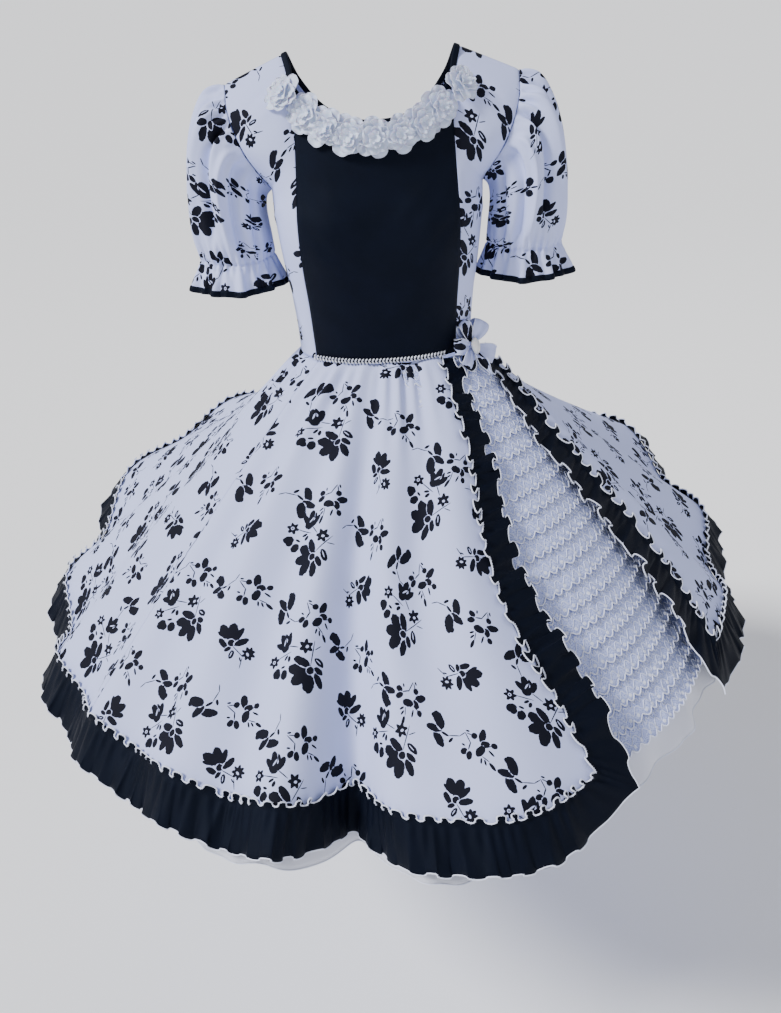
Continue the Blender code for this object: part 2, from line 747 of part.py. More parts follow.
def ruffle_strip(line, normals, inboard, droop, widths, ends, phase):
    """Header, stitch line and free edge of a ruffle along a line of the skirt's own points, and
    its columns' positions on that line. An end is open, or a mitre where it turns a corner."""
    steps = np.linalg.norm(np.diff(line, axis=0), axis=1)
    length = np.concatenate([[0], np.cumsum(steps)])
    total = length[-1]
    first = SLIT_TOP_CLEAR if ends[0] == "open" else 0
    last = total - (SLIT_TOP_CLEAR if ends[1] == "open" else 0)
    count = round((last - first) / WAVE_PITCH) * COLUMNS_PER_WAVE
    at = np.linspace(first, last, count + 1)
    number = np.arange(count + 1) + phase
    turn = 2 * math.pi * number / COLUMNS_PER_WAVE + 0.5
    slow = np.sin(number * 0.83) + 0.6 * np.sin(number * 0.36 + 1)
    uneven = 0.75 + 0.25 * np.sin(number * 0.53)
    width = np.interp(at, length, widths)
    near = [bell(at, MITRE_REACH / 2), bell(total - at, MITRE_REACH / 2)]
    start, finish = [near[i] if ends[i] == "mitre" else np.zeros(count + 1) for i in range(2)]
    calm = np.clip(width / RUFFLE_HEM_WIDTH, 0.3, 1) * (1 - 0.6 * (start + finish))
    free = RUFFLE_EDGE_WAVE * calm * uneven * (0.45 * np.sin(turn) + 0.55 * slow) + RUFFLE_LIFT
    top = RUFFLE_LIFT + RUFFLE_HEADER_WAVE * uneven * (1 + np.sin(turn))
    low = np.full(count + 1, RUFFLE_LIFT)
    reach = width * (1 - (1 - MITRE_ROUND) * (start + finish))
    rows = []
    levels = [(-RUFFLE_HEADER, top, inboard), (-RUFFLE_STITCH, low, inboard), (reach, free, droop)]
    for offset, height, direction in levels:
        shifted = at - (offset - MITRE_GAP / 2) * start + (offset - MITRE_GAP / 2) * finish

        def along(values):
            return np.stack([np.interp(shifted, length, values[:, k]) for k in range(3)], axis=1)

        beyond_first = np.minimum(shifted, 0)[:, None] * unit(line[1] - line[0])
        beyond_last = np.maximum(shifted - total, 0)[:, None] * unit(line[-1] - line[-2])
        base = along(line) + beyond_first + beyond_last
        offset = np.broadcast_to(offset, shifted.shape)[:, None]
        rows.append(base + unit(along(direction)) * offset + unit(along(normals)) * height[:, None])
    return np.array(rows), at, length


def ruffle_strips():
    """The ruffle's outer grids: down the slit's front edge, round the hem, and up the slit's back
    edge. Also the hem's columns that lie nearest the seams of the gores."""
    grid = skirt_grid()
    normals = grid_normals(grid, False)
    share = np.linspace(0, 1, SKIRT_ROWS + 1)
    narrow = RUFFLE_TOP_WIDTH + (RUFFLE_HEM_WIDTH - RUFFLE_TOP_WIDTH) * share**0.7
    down = unit(grid[-1] - grid[-2])
    hanging = unit(down + np.array([0, 0, -RUFFLE_DROOP]))
    wide = np.full(len(down), float(RUFFLE_HEM_WIDTH))
    aside = unit(grid[:, 0] - grid[:, 1])
    ends = ("open", "mitre")
    front, at, _ = ruffle_strip(grid[:, 0], normals[:, 0], aside, aside, narrow, ends, 0)
    phase = len(at) - 1
    ends = ("mitre", "mitre")
    hem, at, length = ruffle_strip(grid[-1], normals[-1], down, hanging, wide, ends, phase)
    phase += len(at) - 1
    seams = np.cumsum([gore.columns for gore in GORES])[:-1]
    cuts = [int(np.abs(at - length[seam]).argmin()) for seam in seams]
    aside = unit(grid[:, -1] - grid[:, -2])[::-1]
    ends = ("mitre", "open")
    back, _, _ = ruffle_strip(
        grid[::-1, -1], normals[::-1, -1], aside, aside, narrow[::-1], ends, phase,
    )
    return front, hem, back, cuts


def cleared(outer, cover):
    """Outer and inner grids of a ruffle, raised along its sewn rows where the skirt needs it."""
    normals = grid_normals(outer, False)
    outer = outer.copy()
    inner = outer - normals * THIN_CLOTH
    for j in range(outer.shape[1] - 1):
        out = unit(normals[1, j] + normals[1, j + 1])
        short = 0.0
        for share in np.linspace(0, 1, 7):
            header, stitch, rim = inner[:, j] * (1 - share) + inner[:, j + 1] * share
            beyond = [stitch + (rim - stitch) * step for step in (0.015, 0.03, 0.06, 0.1)]
            for point in [header, (header + stitch) / 2, stitch] + beyond:
                hit = cover.ray_cast(Vector(point + out * 20), Vector(-out), 22)[0]
                if hit is not None:
                    short = max(short, RUFFLE_CLEAR - np.dot(point - np.array(hit), out))
        for grid in (outer, inner):
            grid[:2, j : j + 2] += out * short
    return outer, inner


def add_ruffle(materials, collection):
    front, hem, back, cuts = ruffle_strips()
    cover = cover_of([item for item in collection.objects if item.name.startswith("skirt")])
    black = materials["black_cloth"]
    for name, grid in (("ruffle_slit_front", front), ("ruffle_slit_back", back)):
        outer, inner = cleared(grid, cover)
        wall(name, outer, inner, black, collection)
    hem, inner = cleared(hem, cover)
    last = hem.shape[1] - 1
    for gore, start, end in zip(GORES, [0] + cuts, cuts + [last]):
        pair = [seamed(grid[:, start : end + 1], start > 0, end < last) for grid in (hem, inner)]
        wall(gore.name.replace("skirt", "ruffle_hem"), pair[0], pair[1], black, collection)


# Underskirt


def under_point(angle, share, stand=0.0):
    """A point of the underskirt, inside the skirt, moved out of its surface by the stand."""
    gap = UNDER_GAP_TOP + UNDER_GAP_HEM * np.clip(share, 0, 1) ** 0.8
    fold = fold_depth(angle, np.clip(share, 0, 1)) * UNDER_FOLD_SHARE
    return bell_point(angle, share, stand + fold - gap)


def add_underskirt(materials, collection):
    """The plain part of the underskirt, and the tiered lace part that the slit shows."""
    angle = np.linspace(LACE_LAST_ANGLE, 360 + LACE_FIRST_ANGLE, UNDER_COLUMNS + 1)
    share = np.linspace(UNDER_FIRST, UNDER_LAST, UNDER_ROWS + 1)[:, None]
    outer = under_point(angle[None, :] + 0 * share, share + 0 * angle)
    pair = [seamed(grid, True, True) for grid in (outer, under_inside(outer))]
    wall("underskirt_plain", pair[0], pair[1], materials["lace"], collection)

    angle = np.linspace(LACE_FIRST_ANGLE, LACE_LAST_ANGLE, LACE_COLUMNS + 1)
    tiers = np.linspace(UNDER_FIRST, UNDER_LAST, LACE_TIERS + 1)
    shares = []
    stands = []
    for top, bottom in zip(tiers[:-1], tiers[1:]):
        shares += [top, bottom - 0.1 * (bottom - top)]
        stands += [0.0, LACE_STEP * (0.35 + 0.65 * bottom)]
    share = np.array(shares + [UNDER_LAST])[:, None] + 0 * angle[None, :]
    stand = np.array(stands + [0.0])[:, None]
    turn = angle[None, :] + 0 * share
    scallop = 1 + 0.25 * np.cos(np.arange(LACE_COLUMNS + 1) * math.pi)[None, :]
    outer = under_point(turn, share, stand * scallop)
    inner = under_inside(under_point(turn, share))
    pair = [seamed(grid, True, True) for grid in (outer, inner)]
    wall("underskirt_lace", pair[0], pair[1], materials["lace"], collection)


def under_inside(outer):
    return outer - grid_normals(outer, False) * CLOTH


def add_flounce(materials, collection):
    """The organza flounce that hangs below the underskirt's edge, gathered into waves."""
    count = FLOUNCE_WAVES * COLUMNS_PER_WAVE
    angle = np.linspace(0, 360, count, endpoint=False)
    top = under_point(angle, np.full(count, UNDER_LAST))
    above = under_point(angle, np.full(count, UNDER_LAST - 0.05))
    down = unit(top - above)
    start = top + down * (SEAM + 1.0)
    hanging = unit(down + np.array([0, 0, -FLOUNCE_DROOP]))
    number = np.arange(count)
    wave = np.sin(number * 2 * math.pi / COLUMNS_PER_WAVE) * (0.8 + 0.2 * np.sin(number * 0.7))
    away = unit(start * (1, 1, 0))
    front = bell(wrapped(angle - FLOUNCE_FRONT_ANGLE), FLOUNCE_FRONT_HALF_WIDTH)
    width = FLOUNCE_WIDTH + FLOUNCE_FRONT_MORE * front
    end = start + hanging * width[:, None] + away * (FLOUNCE_WAVE * wave)[:, None]
    outer = np.stack([start, end])
    inner = outer - grid_normals(outer, True) * THIN_CLOTH
    wall("underskirt_flounce", outer, inner, materials["organza"], collection, True)


# Trims


def add_flowers(materials, collection):
    """A row of flowers with narrowed sides along the front neckline, from corner to corner. Each
    has a flat back and stands just clear of the highest point of the panels under it."""
    cover = cover_of([o for o in collection.objects if o.name.startswith(("bodice", "neck_binding"))])
    points, away = full_neckline()
    half = CENTRE_COLUMNS // 2 + 1
    line = np.concatenate([mirrored(points[1:half][::-1]), points[:half]])
    line_away = np.concatenate([mirrored(away[1:half][::-1]), away[:half]])
    steps = np.linalg.norm(np.diff(line, axis=0), axis=1)
    length = np.concatenate([[0], np.cumsum(steps)])
    at = np.linspace(0, length[-1], FLOWER_COUNT)
    spacing = at[1]
    columns = FLOWER_PETALS * 2
    turn = np.linspace(0, 2 * math.pi, columns, endpoint=False)
    rings = len(FLOWER_RINGS)
    faces = []
    for i in range(rings - 1):
        for j in range(columns):
            k = (j + 1) % columns
            a, b, c, d = i * columns + j, i * columns + k, (i + 1) * columns + k, (i + 1) * columns + j
            faces += [(a, b, c), (a, c, d)]
    for j in range(columns):
        k = (j + 1) % columns
        last = (rings - 1) * columns
        faces.append((k, j, rings * columns))
        faces.append((last + j, last + k, rings * columns + 1))
    for number, place in enumerate(at, start=1):
        point = np.array([np.interp(place, length, line[:, k]) for k in range(3)])
        up = unit(np.array([np.interp(place, length, line_away[:, k]) for k in range(3)]))
        out = bodice_outward(point - up * FLOWER_INSET)
        out = unit(out - up * np.dot(out, up))
        across = np.cross(up, out)
        centre = point - up * FLOWER_INSET
        narrow = FLOWER_NARROW * (0.98 if number % 2 else 1.0) * spacing / 24
        grid = []
        for ring in FLOWER_RINGS:
            reach = ring.radius + ring.scallop * np.cos(turn * FLOWER_PETALS)
            sideways = np.cos(turn)[:, None] * across * narrow
            spoke = sideways + np.sin(turn)[:, None] * up
            grid.append(centre + spoke * reach[:, None] + out * ring.height)
        under = np.concatenate([grid[-1], (grid[-1] + centre) / 2, [centre]])
        stand = highest_under(cover, under, out, centre) + FLOWER_CLEAR - FLOWER_RINGS[-1].height
        tip = centre + out * (FLOWER_RINGS[0].height - 2)
        back = centre + out * FLOWER_RINGS[-1].height
        whole = np.concatenate(grid + [[tip, back]]) + out * stand
        add_object(f"neck_flower_{number}", whole, faces, materials["chiffon"], collection)


def add_braid(materials, collection):
    angle = np.linspace(BRAID_FIRST_ANGLE, BRAID_LAST_ANGLE, BRAID_STATIONS)
    turn = np.radians(angle)
    radius = waist_radius(angle) + BRAID_GAP + BRAID_DEEP / 2 + 1.2
    path = np.stack(
        [radius * np.sin(turn), -radius * np.cos(turn), np.full(len(angle), float(WAIST_Z + 1))], axis=1
    )
    up = np.tile([0.0, 0.0, 1.0], (len(angle), 1))
    out = unit(path * (1, 1, 0))
    band("waist_braid", path, up, out, BRAID_HIGH, BRAID_DEEP, materials["braid"], collection, False)


def add_bow(materials, collection):
    """Ribbon loops round a covered button. The whole bow stands just clear of what is under it."""
    place = math.radians(BOW_ANGLE)
    facing = math.radians(BOW_FACING)
    out = unit(np.array([math.sin(facing), -math.cos(facing), BOW_TILT]))
    across = unit(np.cross([0, 0, 1.0], out))
    up = np.cross(out, across)
    base = np.array([math.sin(place), -math.cos(place), 0]) * waist_radius(BOW_ANGLE)
    centre = base + np.array([0, 0, WAIST_Z - BOW_DROP])
    loops = []
    for loop in BOW_LOOPS:
        turn = math.radians(loop.turn)
        reach = math.cos(turn) * across + math.sin(turn) * up
        side = -math.sin(turn) * across + math.cos(turn) * up
        step = np.linspace(0, 2 * math.pi, LOOP_STEPS, endpoint=False)
        share = (1 - np.cos(step)) / 2
        # Out along one face of the ribbon and back along the other
        along = LOOP_START + loop.length * share
        height = loop.belly * np.sin(step) * (0.35 + 0.65 * share) + loop.lean * 1.5 * share
        half = loop.wide / 2 * (LOOP_ROOT + (1 - LOOP_ROOT) * np.sin(share * math.pi * 0.7))
        line = centre + reach * along[:, None] + out * height[:, None]
        outer = np.stack([line - side * half[:, None], line + side * half[:, None]])
        toward = line - line.mean(axis=0)
        inner = outer - unit(toward)[None] * CLOTH
        loops.append((outer, inner))
    cover = cover_of([o for o in collection.objects if o.name.startswith(("bodice", "skirt", "ruffle", "under"))])
    lift = -100.0
    for outer, inner in loops:
        points = outer.reshape(-1, 3)
        own = (points - centre) @ out
        for point, height in zip(points, own):
            hit = cover.ray_cast(Vector(point + out * 80), Vector(-out), 160)[0]
            if hit is not None:
                lift = max(lift, np.dot(np.array(hit) - centre, out) - height)
    moved = out * (lift + BOW_CLEAR)
    for number, (outer, inner) in enumerate(loops, start=1):
        name = f"bow_loop_{number}"
        wall(name, outer + moved, inner + moved, materials["printed_cloth"], collection, True)
    turn = np.linspace(0, 2 * math.pi, BUTTON_SEGMENTS, endpoint=False)
    rows = []
    for rise in np.linspace(-0.5, 0.5, BUTTON_RINGS + 1)[1:-1] * math.pi:
        ring = np.cos(turn)[:, None] * across * BUTTON_HALF_WIDE + np.sin(turn)[:, None] * up * BUTTON_HALF_HIGH
        rows.append(ring * math.cos(rise) + out * BUTTON_DEEP * math.sin(rise))
    rows = np.array(rows)
    faces = []
    for i in range(len(rows) - 1):
        for j in range(BUTTON_SEGMENTS):
            k = (j + 1) % BUTTON_SEGMENTS
            first, above = i * BUTTON_SEGMENTS, (i + 1) * BUTTON_SEGMENTS
            faces.append((first + j, first + k, above + k, above + j))
    total = len(rows) * BUTTON_SEGMENTS
    for j in range(BUTTON_SEGMENTS):
        k = (j + 1) % BUTTON_SEGMENTS
        faces.append((k, j, total))
        faces.append((total - BUTTON_SEGMENTS + j, total - BUTTON_SEGMENTS + k, total + 1))
    points = np.concatenate([rows.reshape(-1, 3), [-out * BUTTON_DEEP, out * BUTTON_DEEP]]) + centre
    cover = cover_of([item for item in collection.objects if item.name.startswith("bow_loop")])
    lift = -100.0
    for point in points:
        hit = cover.ray_cast(Vector(point + out * 80), Vector(-out), 160)[0]
        if hit is not None:
            lift = max(lift, np.dot(np.array(hit) - point, out))
    points = points + out * (lift + BOW_CLEAR)
    add_object("bow_button", points, faces, materials["button"], collection)


def main():
    clear_scene()
    collection = bpy.data.collections.new("cueca_dress")
    bpy.context.scene.collection.children.link(collection)
    materials = make_materials()
    add_bodice(materials, collection)
    add_neck_binding(materials, collection)
    add_sleeves(materials, collection)
    add_skirt(materials, collection)
    add_ruffle(materials, collection)
    add_underskirt(materials, collection)
    add_flounce(materials, collection)
    add_flowers(materials, collection)
    add_braid(materials, collection)
    add_bow(materials, collection)


main()
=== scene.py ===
# A cueca dress as worn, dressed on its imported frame: printed cloth, black ruffle, lace underskirt and trims.
# Sizes are in millimetres and meshes in metres. The front faces -Y and +X is the wearer's left.
# Skirt angles are in degrees from the centre front, positive to the wearer's left.
import math

import bmesh
import bpy
import numpy as np
from mathutils import Matrix, Vector


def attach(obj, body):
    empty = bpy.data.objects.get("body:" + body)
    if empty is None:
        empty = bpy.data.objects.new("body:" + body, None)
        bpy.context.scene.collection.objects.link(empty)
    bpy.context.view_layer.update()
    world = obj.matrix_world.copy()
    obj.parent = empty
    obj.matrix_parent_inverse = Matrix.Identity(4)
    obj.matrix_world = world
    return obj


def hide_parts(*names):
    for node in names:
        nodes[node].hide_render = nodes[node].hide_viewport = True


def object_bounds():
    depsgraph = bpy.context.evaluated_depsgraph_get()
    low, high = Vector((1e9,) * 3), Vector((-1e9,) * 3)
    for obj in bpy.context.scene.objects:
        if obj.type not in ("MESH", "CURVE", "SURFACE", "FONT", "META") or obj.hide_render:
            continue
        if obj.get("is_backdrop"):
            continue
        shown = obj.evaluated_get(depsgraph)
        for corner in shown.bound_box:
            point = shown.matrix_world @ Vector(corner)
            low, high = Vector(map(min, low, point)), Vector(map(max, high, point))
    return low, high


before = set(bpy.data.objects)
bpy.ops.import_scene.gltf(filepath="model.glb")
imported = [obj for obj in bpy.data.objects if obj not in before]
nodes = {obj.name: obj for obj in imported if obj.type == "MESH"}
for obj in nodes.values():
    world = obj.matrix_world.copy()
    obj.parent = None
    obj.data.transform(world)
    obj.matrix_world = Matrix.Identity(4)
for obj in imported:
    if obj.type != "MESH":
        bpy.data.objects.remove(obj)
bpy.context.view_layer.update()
mm = 0.001
pi = math.pi
scene = bpy.context.scene


# Small tools for curves and grids

def unit(vectors):
    vectors = np.asarray(vectors, float)
    return vectors / np.linalg.norm(vectors, axis=-1, keepdims=True)


def bump(distance, halfWidth):
    return np.exp(-((np.asarray(distance, float) / halfWidth) ** 2))


def ease(x):
    x = np.clip(x, 0, 1)
    return x * x * (3 - 2 * x)


def curveThrough(at, xs, ys):  # a smooth curve through the table's points
    xs, ys = np.asarray(xs, float), np.asarray(ys, float)
    slopes = np.gradient(ys, xs, axis=0)
    at = np.clip(at, xs[0], xs[-1])
    right = np.clip(np.searchsorted(xs, at), 1, len(xs) - 1)
    left = right - 1
    span = xs[right] - xs[left]
    t = (at - xs[left]) / span
    spread = (...,) + (None,) * (ys.ndim - 1)
    t, span = t[spread], span[spread]
    start = ys[left] * (1 + 2 * t) * (1 - t) ** 2 + slopes[left] * span * t * (1 - t) ** 2
    return start + ys[right] * t * t * (3 - 2 * t) - slopes[right] * span * t * t * (1 - t)


def refined(grid, rows, columns, closed=False):  # the same surface with more points on it
    grid = np.swapaxes(grid, 0, 1)
    if closed:
        around = len(grid)
        grid = np.concatenate([grid[-3:], grid, grid[:3]])
        at = np.linspace(0, around, columns, endpoint=False) + 3
    else:
        at = np.linspace(0, len(grid) - 1, columns)
    grid = np.swapaxes(curveThrough(at, np.arange(len(grid)), grid), 0, 1)
    return curveThrough(np.linspace(0, len(grid) - 1, rows), np.arange(len(grid)), grid)


def gridNormals(grid, closed=False):  # away from the dress's axis
    across = np.gradient(grid, axis=1)
    if closed:
        across = (np.roll(grid, -1, axis=1) - np.roll(grid, 1, axis=1)) / 2
    normals = unit(np.cross(across, np.gradient(grid, axis=0)) + 1e-9)
    away = grid - grid.mean(axis=1 if closed else (0, 1), keepdims=True)
    return normals if (normals * away).sum() > 0 else -normals


def mirrored(grid):
    return grid * np.array([-1.0, 1.0, 1.0])


def lengthAlong(line):
    steps = np.linalg.norm(np.diff(line, axis=0), axis=-1)
    return np.concatenate([[0], np.cumsum(steps)])


def pointAt(where, length, line):  # the line's value some way along it
    return np.stack([np.interp(where, length, line[:, k]) for k in range(3)], axis=-1)


def flatPlaces(along, across):
    return np.stack(np.broadcast_arrays(along, across), -1)


def solidPoints(node):
    return np.array([vertex.co for vertex in nodes[node].data.vertices]) / mm


def laidFlat(grid):  # the panel's flat cut: its columns side by side as straight strips
    down = np.linalg.norm(np.diff(grid, axis=0), axis=2)
    down = np.concatenate([np.zeros((1, grid.shape[1])), np.cumsum(down, axis=0)])
    across = np.linalg.norm(np.diff(grid, axis=1), axis=2)
    turn = np.concatenate([[0], np.cumsum((across[-1] - across[0]) / down[-1, 1:])])
    turn -= turn.mean()
    heading = (turn[1:] + turn[:-1]) / 2
    steps = np.stack([np.cos(heading), np.sin(heading)], axis=1) * across[0][:, None]
    start = np.concatenate([[[0, 0]], np.cumsum(steps, axis=0)])
    return start + down[..., None] * np.stack([np.sin(turn), -np.cos(turn)], axis=1)


def seamDipped(grid, out, left, right, depth=1.1, reach=3.2):  # cloth turns in a little at a sewn seam
    across = np.linalg.norm(np.diff(grid, axis=1), axis=2)
    fromLeft = np.concatenate([np.zeros((len(grid), 1)), np.cumsum(across, axis=1)], axis=1)
    dip = left * bump(fromLeft, reach) + right * bump(fromLeft[:, -1:] - fromLeft, reach)
    return grid - out * (depth * dip)[..., None]


def creased(grid, out, creases):  # soft creases between two points of the panel's flat cut
    flat = laidFlat(grid)
    low, size = flat.min((0, 1)), np.ptp(flat, (0, 1))
    for startX, startY, endX, endY, halfWidth, depth in creases:
        start = low + size * (startX, startY)
        line = size * (endX - startX, endY - startY)
        share = np.clip((flat - start) @ line / (line @ line), 0, 1)
        away = np.linalg.norm(flat - start - share[..., None] * line, axis=-1)
        fade = ease(share * 3.3) * ease((1 - share) * 3.3)
        grid = grid + out * (depth * bump(away, halfWidth) * fade)[..., None]
    return grid


# Small tools for meshes and node trees

def addNode(tree, kind, links=(), **settings):
    node = tree.nodes.new(kind)
    for key, value in settings.items():
        setattr(node, key, value)
    for key, value in dict(links).items():
        if isinstance(value, bpy.types.NodeSocket):
            tree.links.new(value, node.inputs[key])
        else:
            node.inputs[key].default_value = value
    return node


def hexColour(text):  # sRGB hex to linear
    parts = [int(text[i:i + 2], 16) / 255 for i in (0, 2, 4)]
    return (*[c / 12.92 if c <= 0.04045 else ((c + 0.055) / 1.055) ** 2.4 for c in parts], 1.0)


def inScene(name, data):
    made = bpy.data.objects.new(name, data)
    scene.collection.objects.link(made)
    return made


def newObject(name, mesh, cloth):
    mesh.shade_smooth()
    mesh.materials.clear()
    mesh.materials.append(materials[cloth])
    return inScene(name, mesh)


def addPiece(name, mesh, cloth, slotName=None, *standsFor):
    piece = newObject(name, mesh, cloth)
    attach(piece, "root")
    if standsFor:
        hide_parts(*standsFor)
    return piece


def quads(number):  # the faces of a grid of numbered points
    return np.stack([number[:-1, :-1], number[:-1, 1:], number[1:, 1:], number[1:, :-1]], -1).reshape(-1, 4)


def clothMesh(name, points, faces, flat, closed):  # each point's flat place is kept as its UV
    mesh = bpy.data.meshes.new(name)
    mesh.from_pydata((points * mm).tolist(), [], faces)
    where = np.zeros(len(mesh.loops), int)
    mesh.loops.foreach_get("vertex_index", where)
    layer = mesh.uv_layers.new(name="clothPlace")
    layer.data.foreach_set("uv", (flat[where] * mm).astype(np.float32).ravel())
    work = bmesh.new()
    work.from_mesh(mesh)
    if closed:
        bmesh.ops.remove_doubles(work, verts=work.verts, dist=1e-7)
    bmesh.ops.recalc_face_normals(work, faces=work.faces)
    work.to_mesh(mesh)
    work.free()
    return mesh


def shellMesh(name, sheets, closed=False):
    # thin walls of cloth, each from an outer and an inner grid and the flat place of each point
    points, faces, flats = [], [], []
    start = 0
    for outer, inner, flat in sheets:
        if closed:
            outer, inner = [np.concatenate([g, g[:, :1]], axis=1) for g in (outer, inner)]
        rows, columns = outer.shape[:2]
        number = np.arange(rows * columns).reshape(rows, columns) + start
        below = number + rows * columns
        back = np.stack([below[:-1, :-1], below[1:, :-1], below[1:, 1:], below[:-1, 1:]], -1)
        faces += [
            quads(number), back.reshape(-1, 4),
            np.stack([below[0, :-1], below[0, 1:], number[0, 1:], number[0, :-1]], -1),
            np.stack([number[-1, :-1], number[-1, 1:], below[-1, 1:], below[-1, :-1]], -1),
        ]
        if not closed:
            faces += [
                np.stack([number[:-1, 0], number[1:, 0], below[1:, 0], below[:-1, 0]], -1),
                np.stack([below[:-1, -1], below[1:, -1], number[1:, -1], number[:-1, -1]], -1),
            ]
        points += [outer.reshape(-1, 3), inner.reshape(-1, 3)]
        flats += [flat.reshape(-1, 2)] * 2
        start += rows * columns * 2
    points, faces, flats = [np.concatenate(parts) for parts in (points, faces, flats)]
    return clothMesh(name, points, faces.tolist(), flats, closed)


def bakedPiece(name, source, tree, inputs, cloth, *where):
    # runs a Geometry Nodes tree on a mesh and keeps the result as a plain mesh
    carrier = inScene(name, source)
    modifier = carrier.modifiers.new(name, "NODES")
    modifier.node_group = tree
    for item in tree.interface.items_tree:
        if item.item_type == "SOCKET" and item.in_out == "INPUT" and item.name in inputs:
            modifier[item.identifier] = inputs[item.name]
    bpy.context.view_layer.update()
    ready = carrier.evaluated_get(bpy.context.evaluated_depsgraph_get())
    mesh = bpy.data.meshes.new_from_object(ready)
    bpy.data.objects.remove(carrier)
    addPiece(name, mesh, cloth, *where)


def newTree(name, sizes):  # a Geometry Nodes tree with a geometry input and named float inputs
    tree = bpy.data.node_groups.new(name, "GeometryNodeTree")
    tree.interface.new_socket("Geometry", in_out="INPUT", socket_type="NodeSocketGeometry")
    for size in sizes:
        tree.interface.new_socket(size, in_out="INPUT", socket_type="NodeSocketFloat")
    tree.interface.new_socket("Geometry", in_out="OUTPUT", socket_type="NodeSocketGeometry")
    return tree, addNode(tree, "NodeGroupInput").outputs


def joined(tree, *shapes):
    together = addNode(tree, "GeometryNodeJoinGeometry")
    for shape in shapes:
        tree.links.new(shape, together.inputs[0])
    return together.outputs[0]


def copied(tree, **inputs):  # a real copy of one shape at each point
    copies = addNode(tree, "GeometryNodeInstanceOnPoints", inputs)
    return addNode(tree, "GeometryNodeRealizeInstances", {0: copies.outputs[0]}).outputs[0]


def facingCopies(tree, points, shape, axis, size=(1, 1, 1)):
    # each copy's z follows the point's "out", and the named axis its "down"
    out, down = [
        addNode(tree, "GeometryNodeInputNamedAttribute", {"Name": way}, data_type="FLOAT_VECTOR").outputs[0]
        for way in ("out", "down")
    ]
    facing = addNode(tree, "FunctionNodeAlignEulerToVector", {"Vector": out}, axis="Z")
    facing = addNode(tree, "FunctionNodeAlignEulerToVector", {"Rotation": facing.outputs[0], "Vector": down},
                     axis=axis, pivot_axis="Z")
    return copied(tree, Points=points, Instance=shape, Rotation=facing.outputs[0], Scale=size)


def endTree(tree, geometry, cloth):
    dressed = addNode(tree, "GeometryNodeSetMaterial", {"Geometry": geometry, "Material": materials[cloth]})
    addNode(tree, "NodeGroupOutput", {0: dressed.outputs[0]})


def pathsMesh(name, paths, attributes=None):  # open paths as edges, for a tree to follow
    points = np.concatenate(paths)
    edges, start = [], 0
    for path in paths:
        edges += [(start + i, start + i + 1) for i in range(len(path) - 1)]
        start += len(path)
    mesh = bpy.data.meshes.new(name)
    mesh.from_pydata((points * mm).tolist(), edges, [])
    for key, values in (attributes or {}).items():
        layer = mesh.attributes.new(key, "FLOAT_VECTOR", "POINT")
        layer.data.foreach_set("vector", np.asarray(values, np.float32).ravel())
    return mesh


print("stage: materials")
materials = {}


def newMaterial(name, colour, **sockets):
    material = bpy.data.materials.new(name)
    material.use_nodes = True
    shader = material.node_tree.nodes["Principled BSDF"]
    shader.inputs["Base Color"].default_value = hexColour(colour)
    for key, value in sockets.items():
        shader.inputs[key.replace("_", " ")].default_value = value
    materials[name] = material
    return material.node_tree, shader


def mathNode(tree, operation, *values):
    return addNode(tree, "ShaderNodeMath", dict(enumerate(values)), operation=operation).outputs[0]


def vectorMath(tree, operation, *values):
    return addNode(tree, "ShaderNodeVectorMath", dict(enumerate(values)), operation=operation).outputs


def clothPlace(tree):
    return addNode(tree, "ShaderNodeUVMap", uv_map="clothPlace").outputs[0]


def objectPlace(tree):
    return addNode(tree, "ShaderNodeTexCoord").outputs["Object"]


def addRelief(tree, shader, height, strength, distance):
    relief = addNode(tree, "ShaderNodeBump", {"Height": height, "Strength": strength, "Distance": distance})
    tree.links.new(relief.outputs[0], shader.inputs["Normal"])


def addTones(tree, shader, amount, colours, positions=(0, 1)):
    ramp = addNode(tree, "ShaderNodeValToRGB", {"Fac": amount})
    for element, colour, position in zip(ramp.color_ramp.elements, colours, positions):
        element.color = hexColour(colour)
        element.position = position
    tree.links.new(ramp.outputs[0], shader.inputs["Base Color"])


def addWeave(tree, shader, threadMm, strength, place):
    # a plain weave: threads over and under, drawn coarser than life so that they show
    size = 1000 / threadMm
    spot = addNode(tree, "ShaderNodeMapping", {"Vector": place, "Scale": (size, size, size)})
    threads = [
        addNode(tree, "ShaderNodeTexWave", {"Vector": spot.outputs[0], "Scale": 0.5}, bands_direction=way)
        for way in "XY"
    ]
    over = mathNode(tree, "MAXIMUM", *[thread.outputs["Fac"] for thread in threads])
    slubs = addNode(tree, "ShaderNodeTexNoise", {"Vector": place, "Scale": 160.0, "Detail": 4.0})
    height = mathNode(tree, "MULTIPLY_ADD", slubs.outputs["Fac"], 1.5, over)
    addRelief(tree, shader, height, strength, 0.0004)


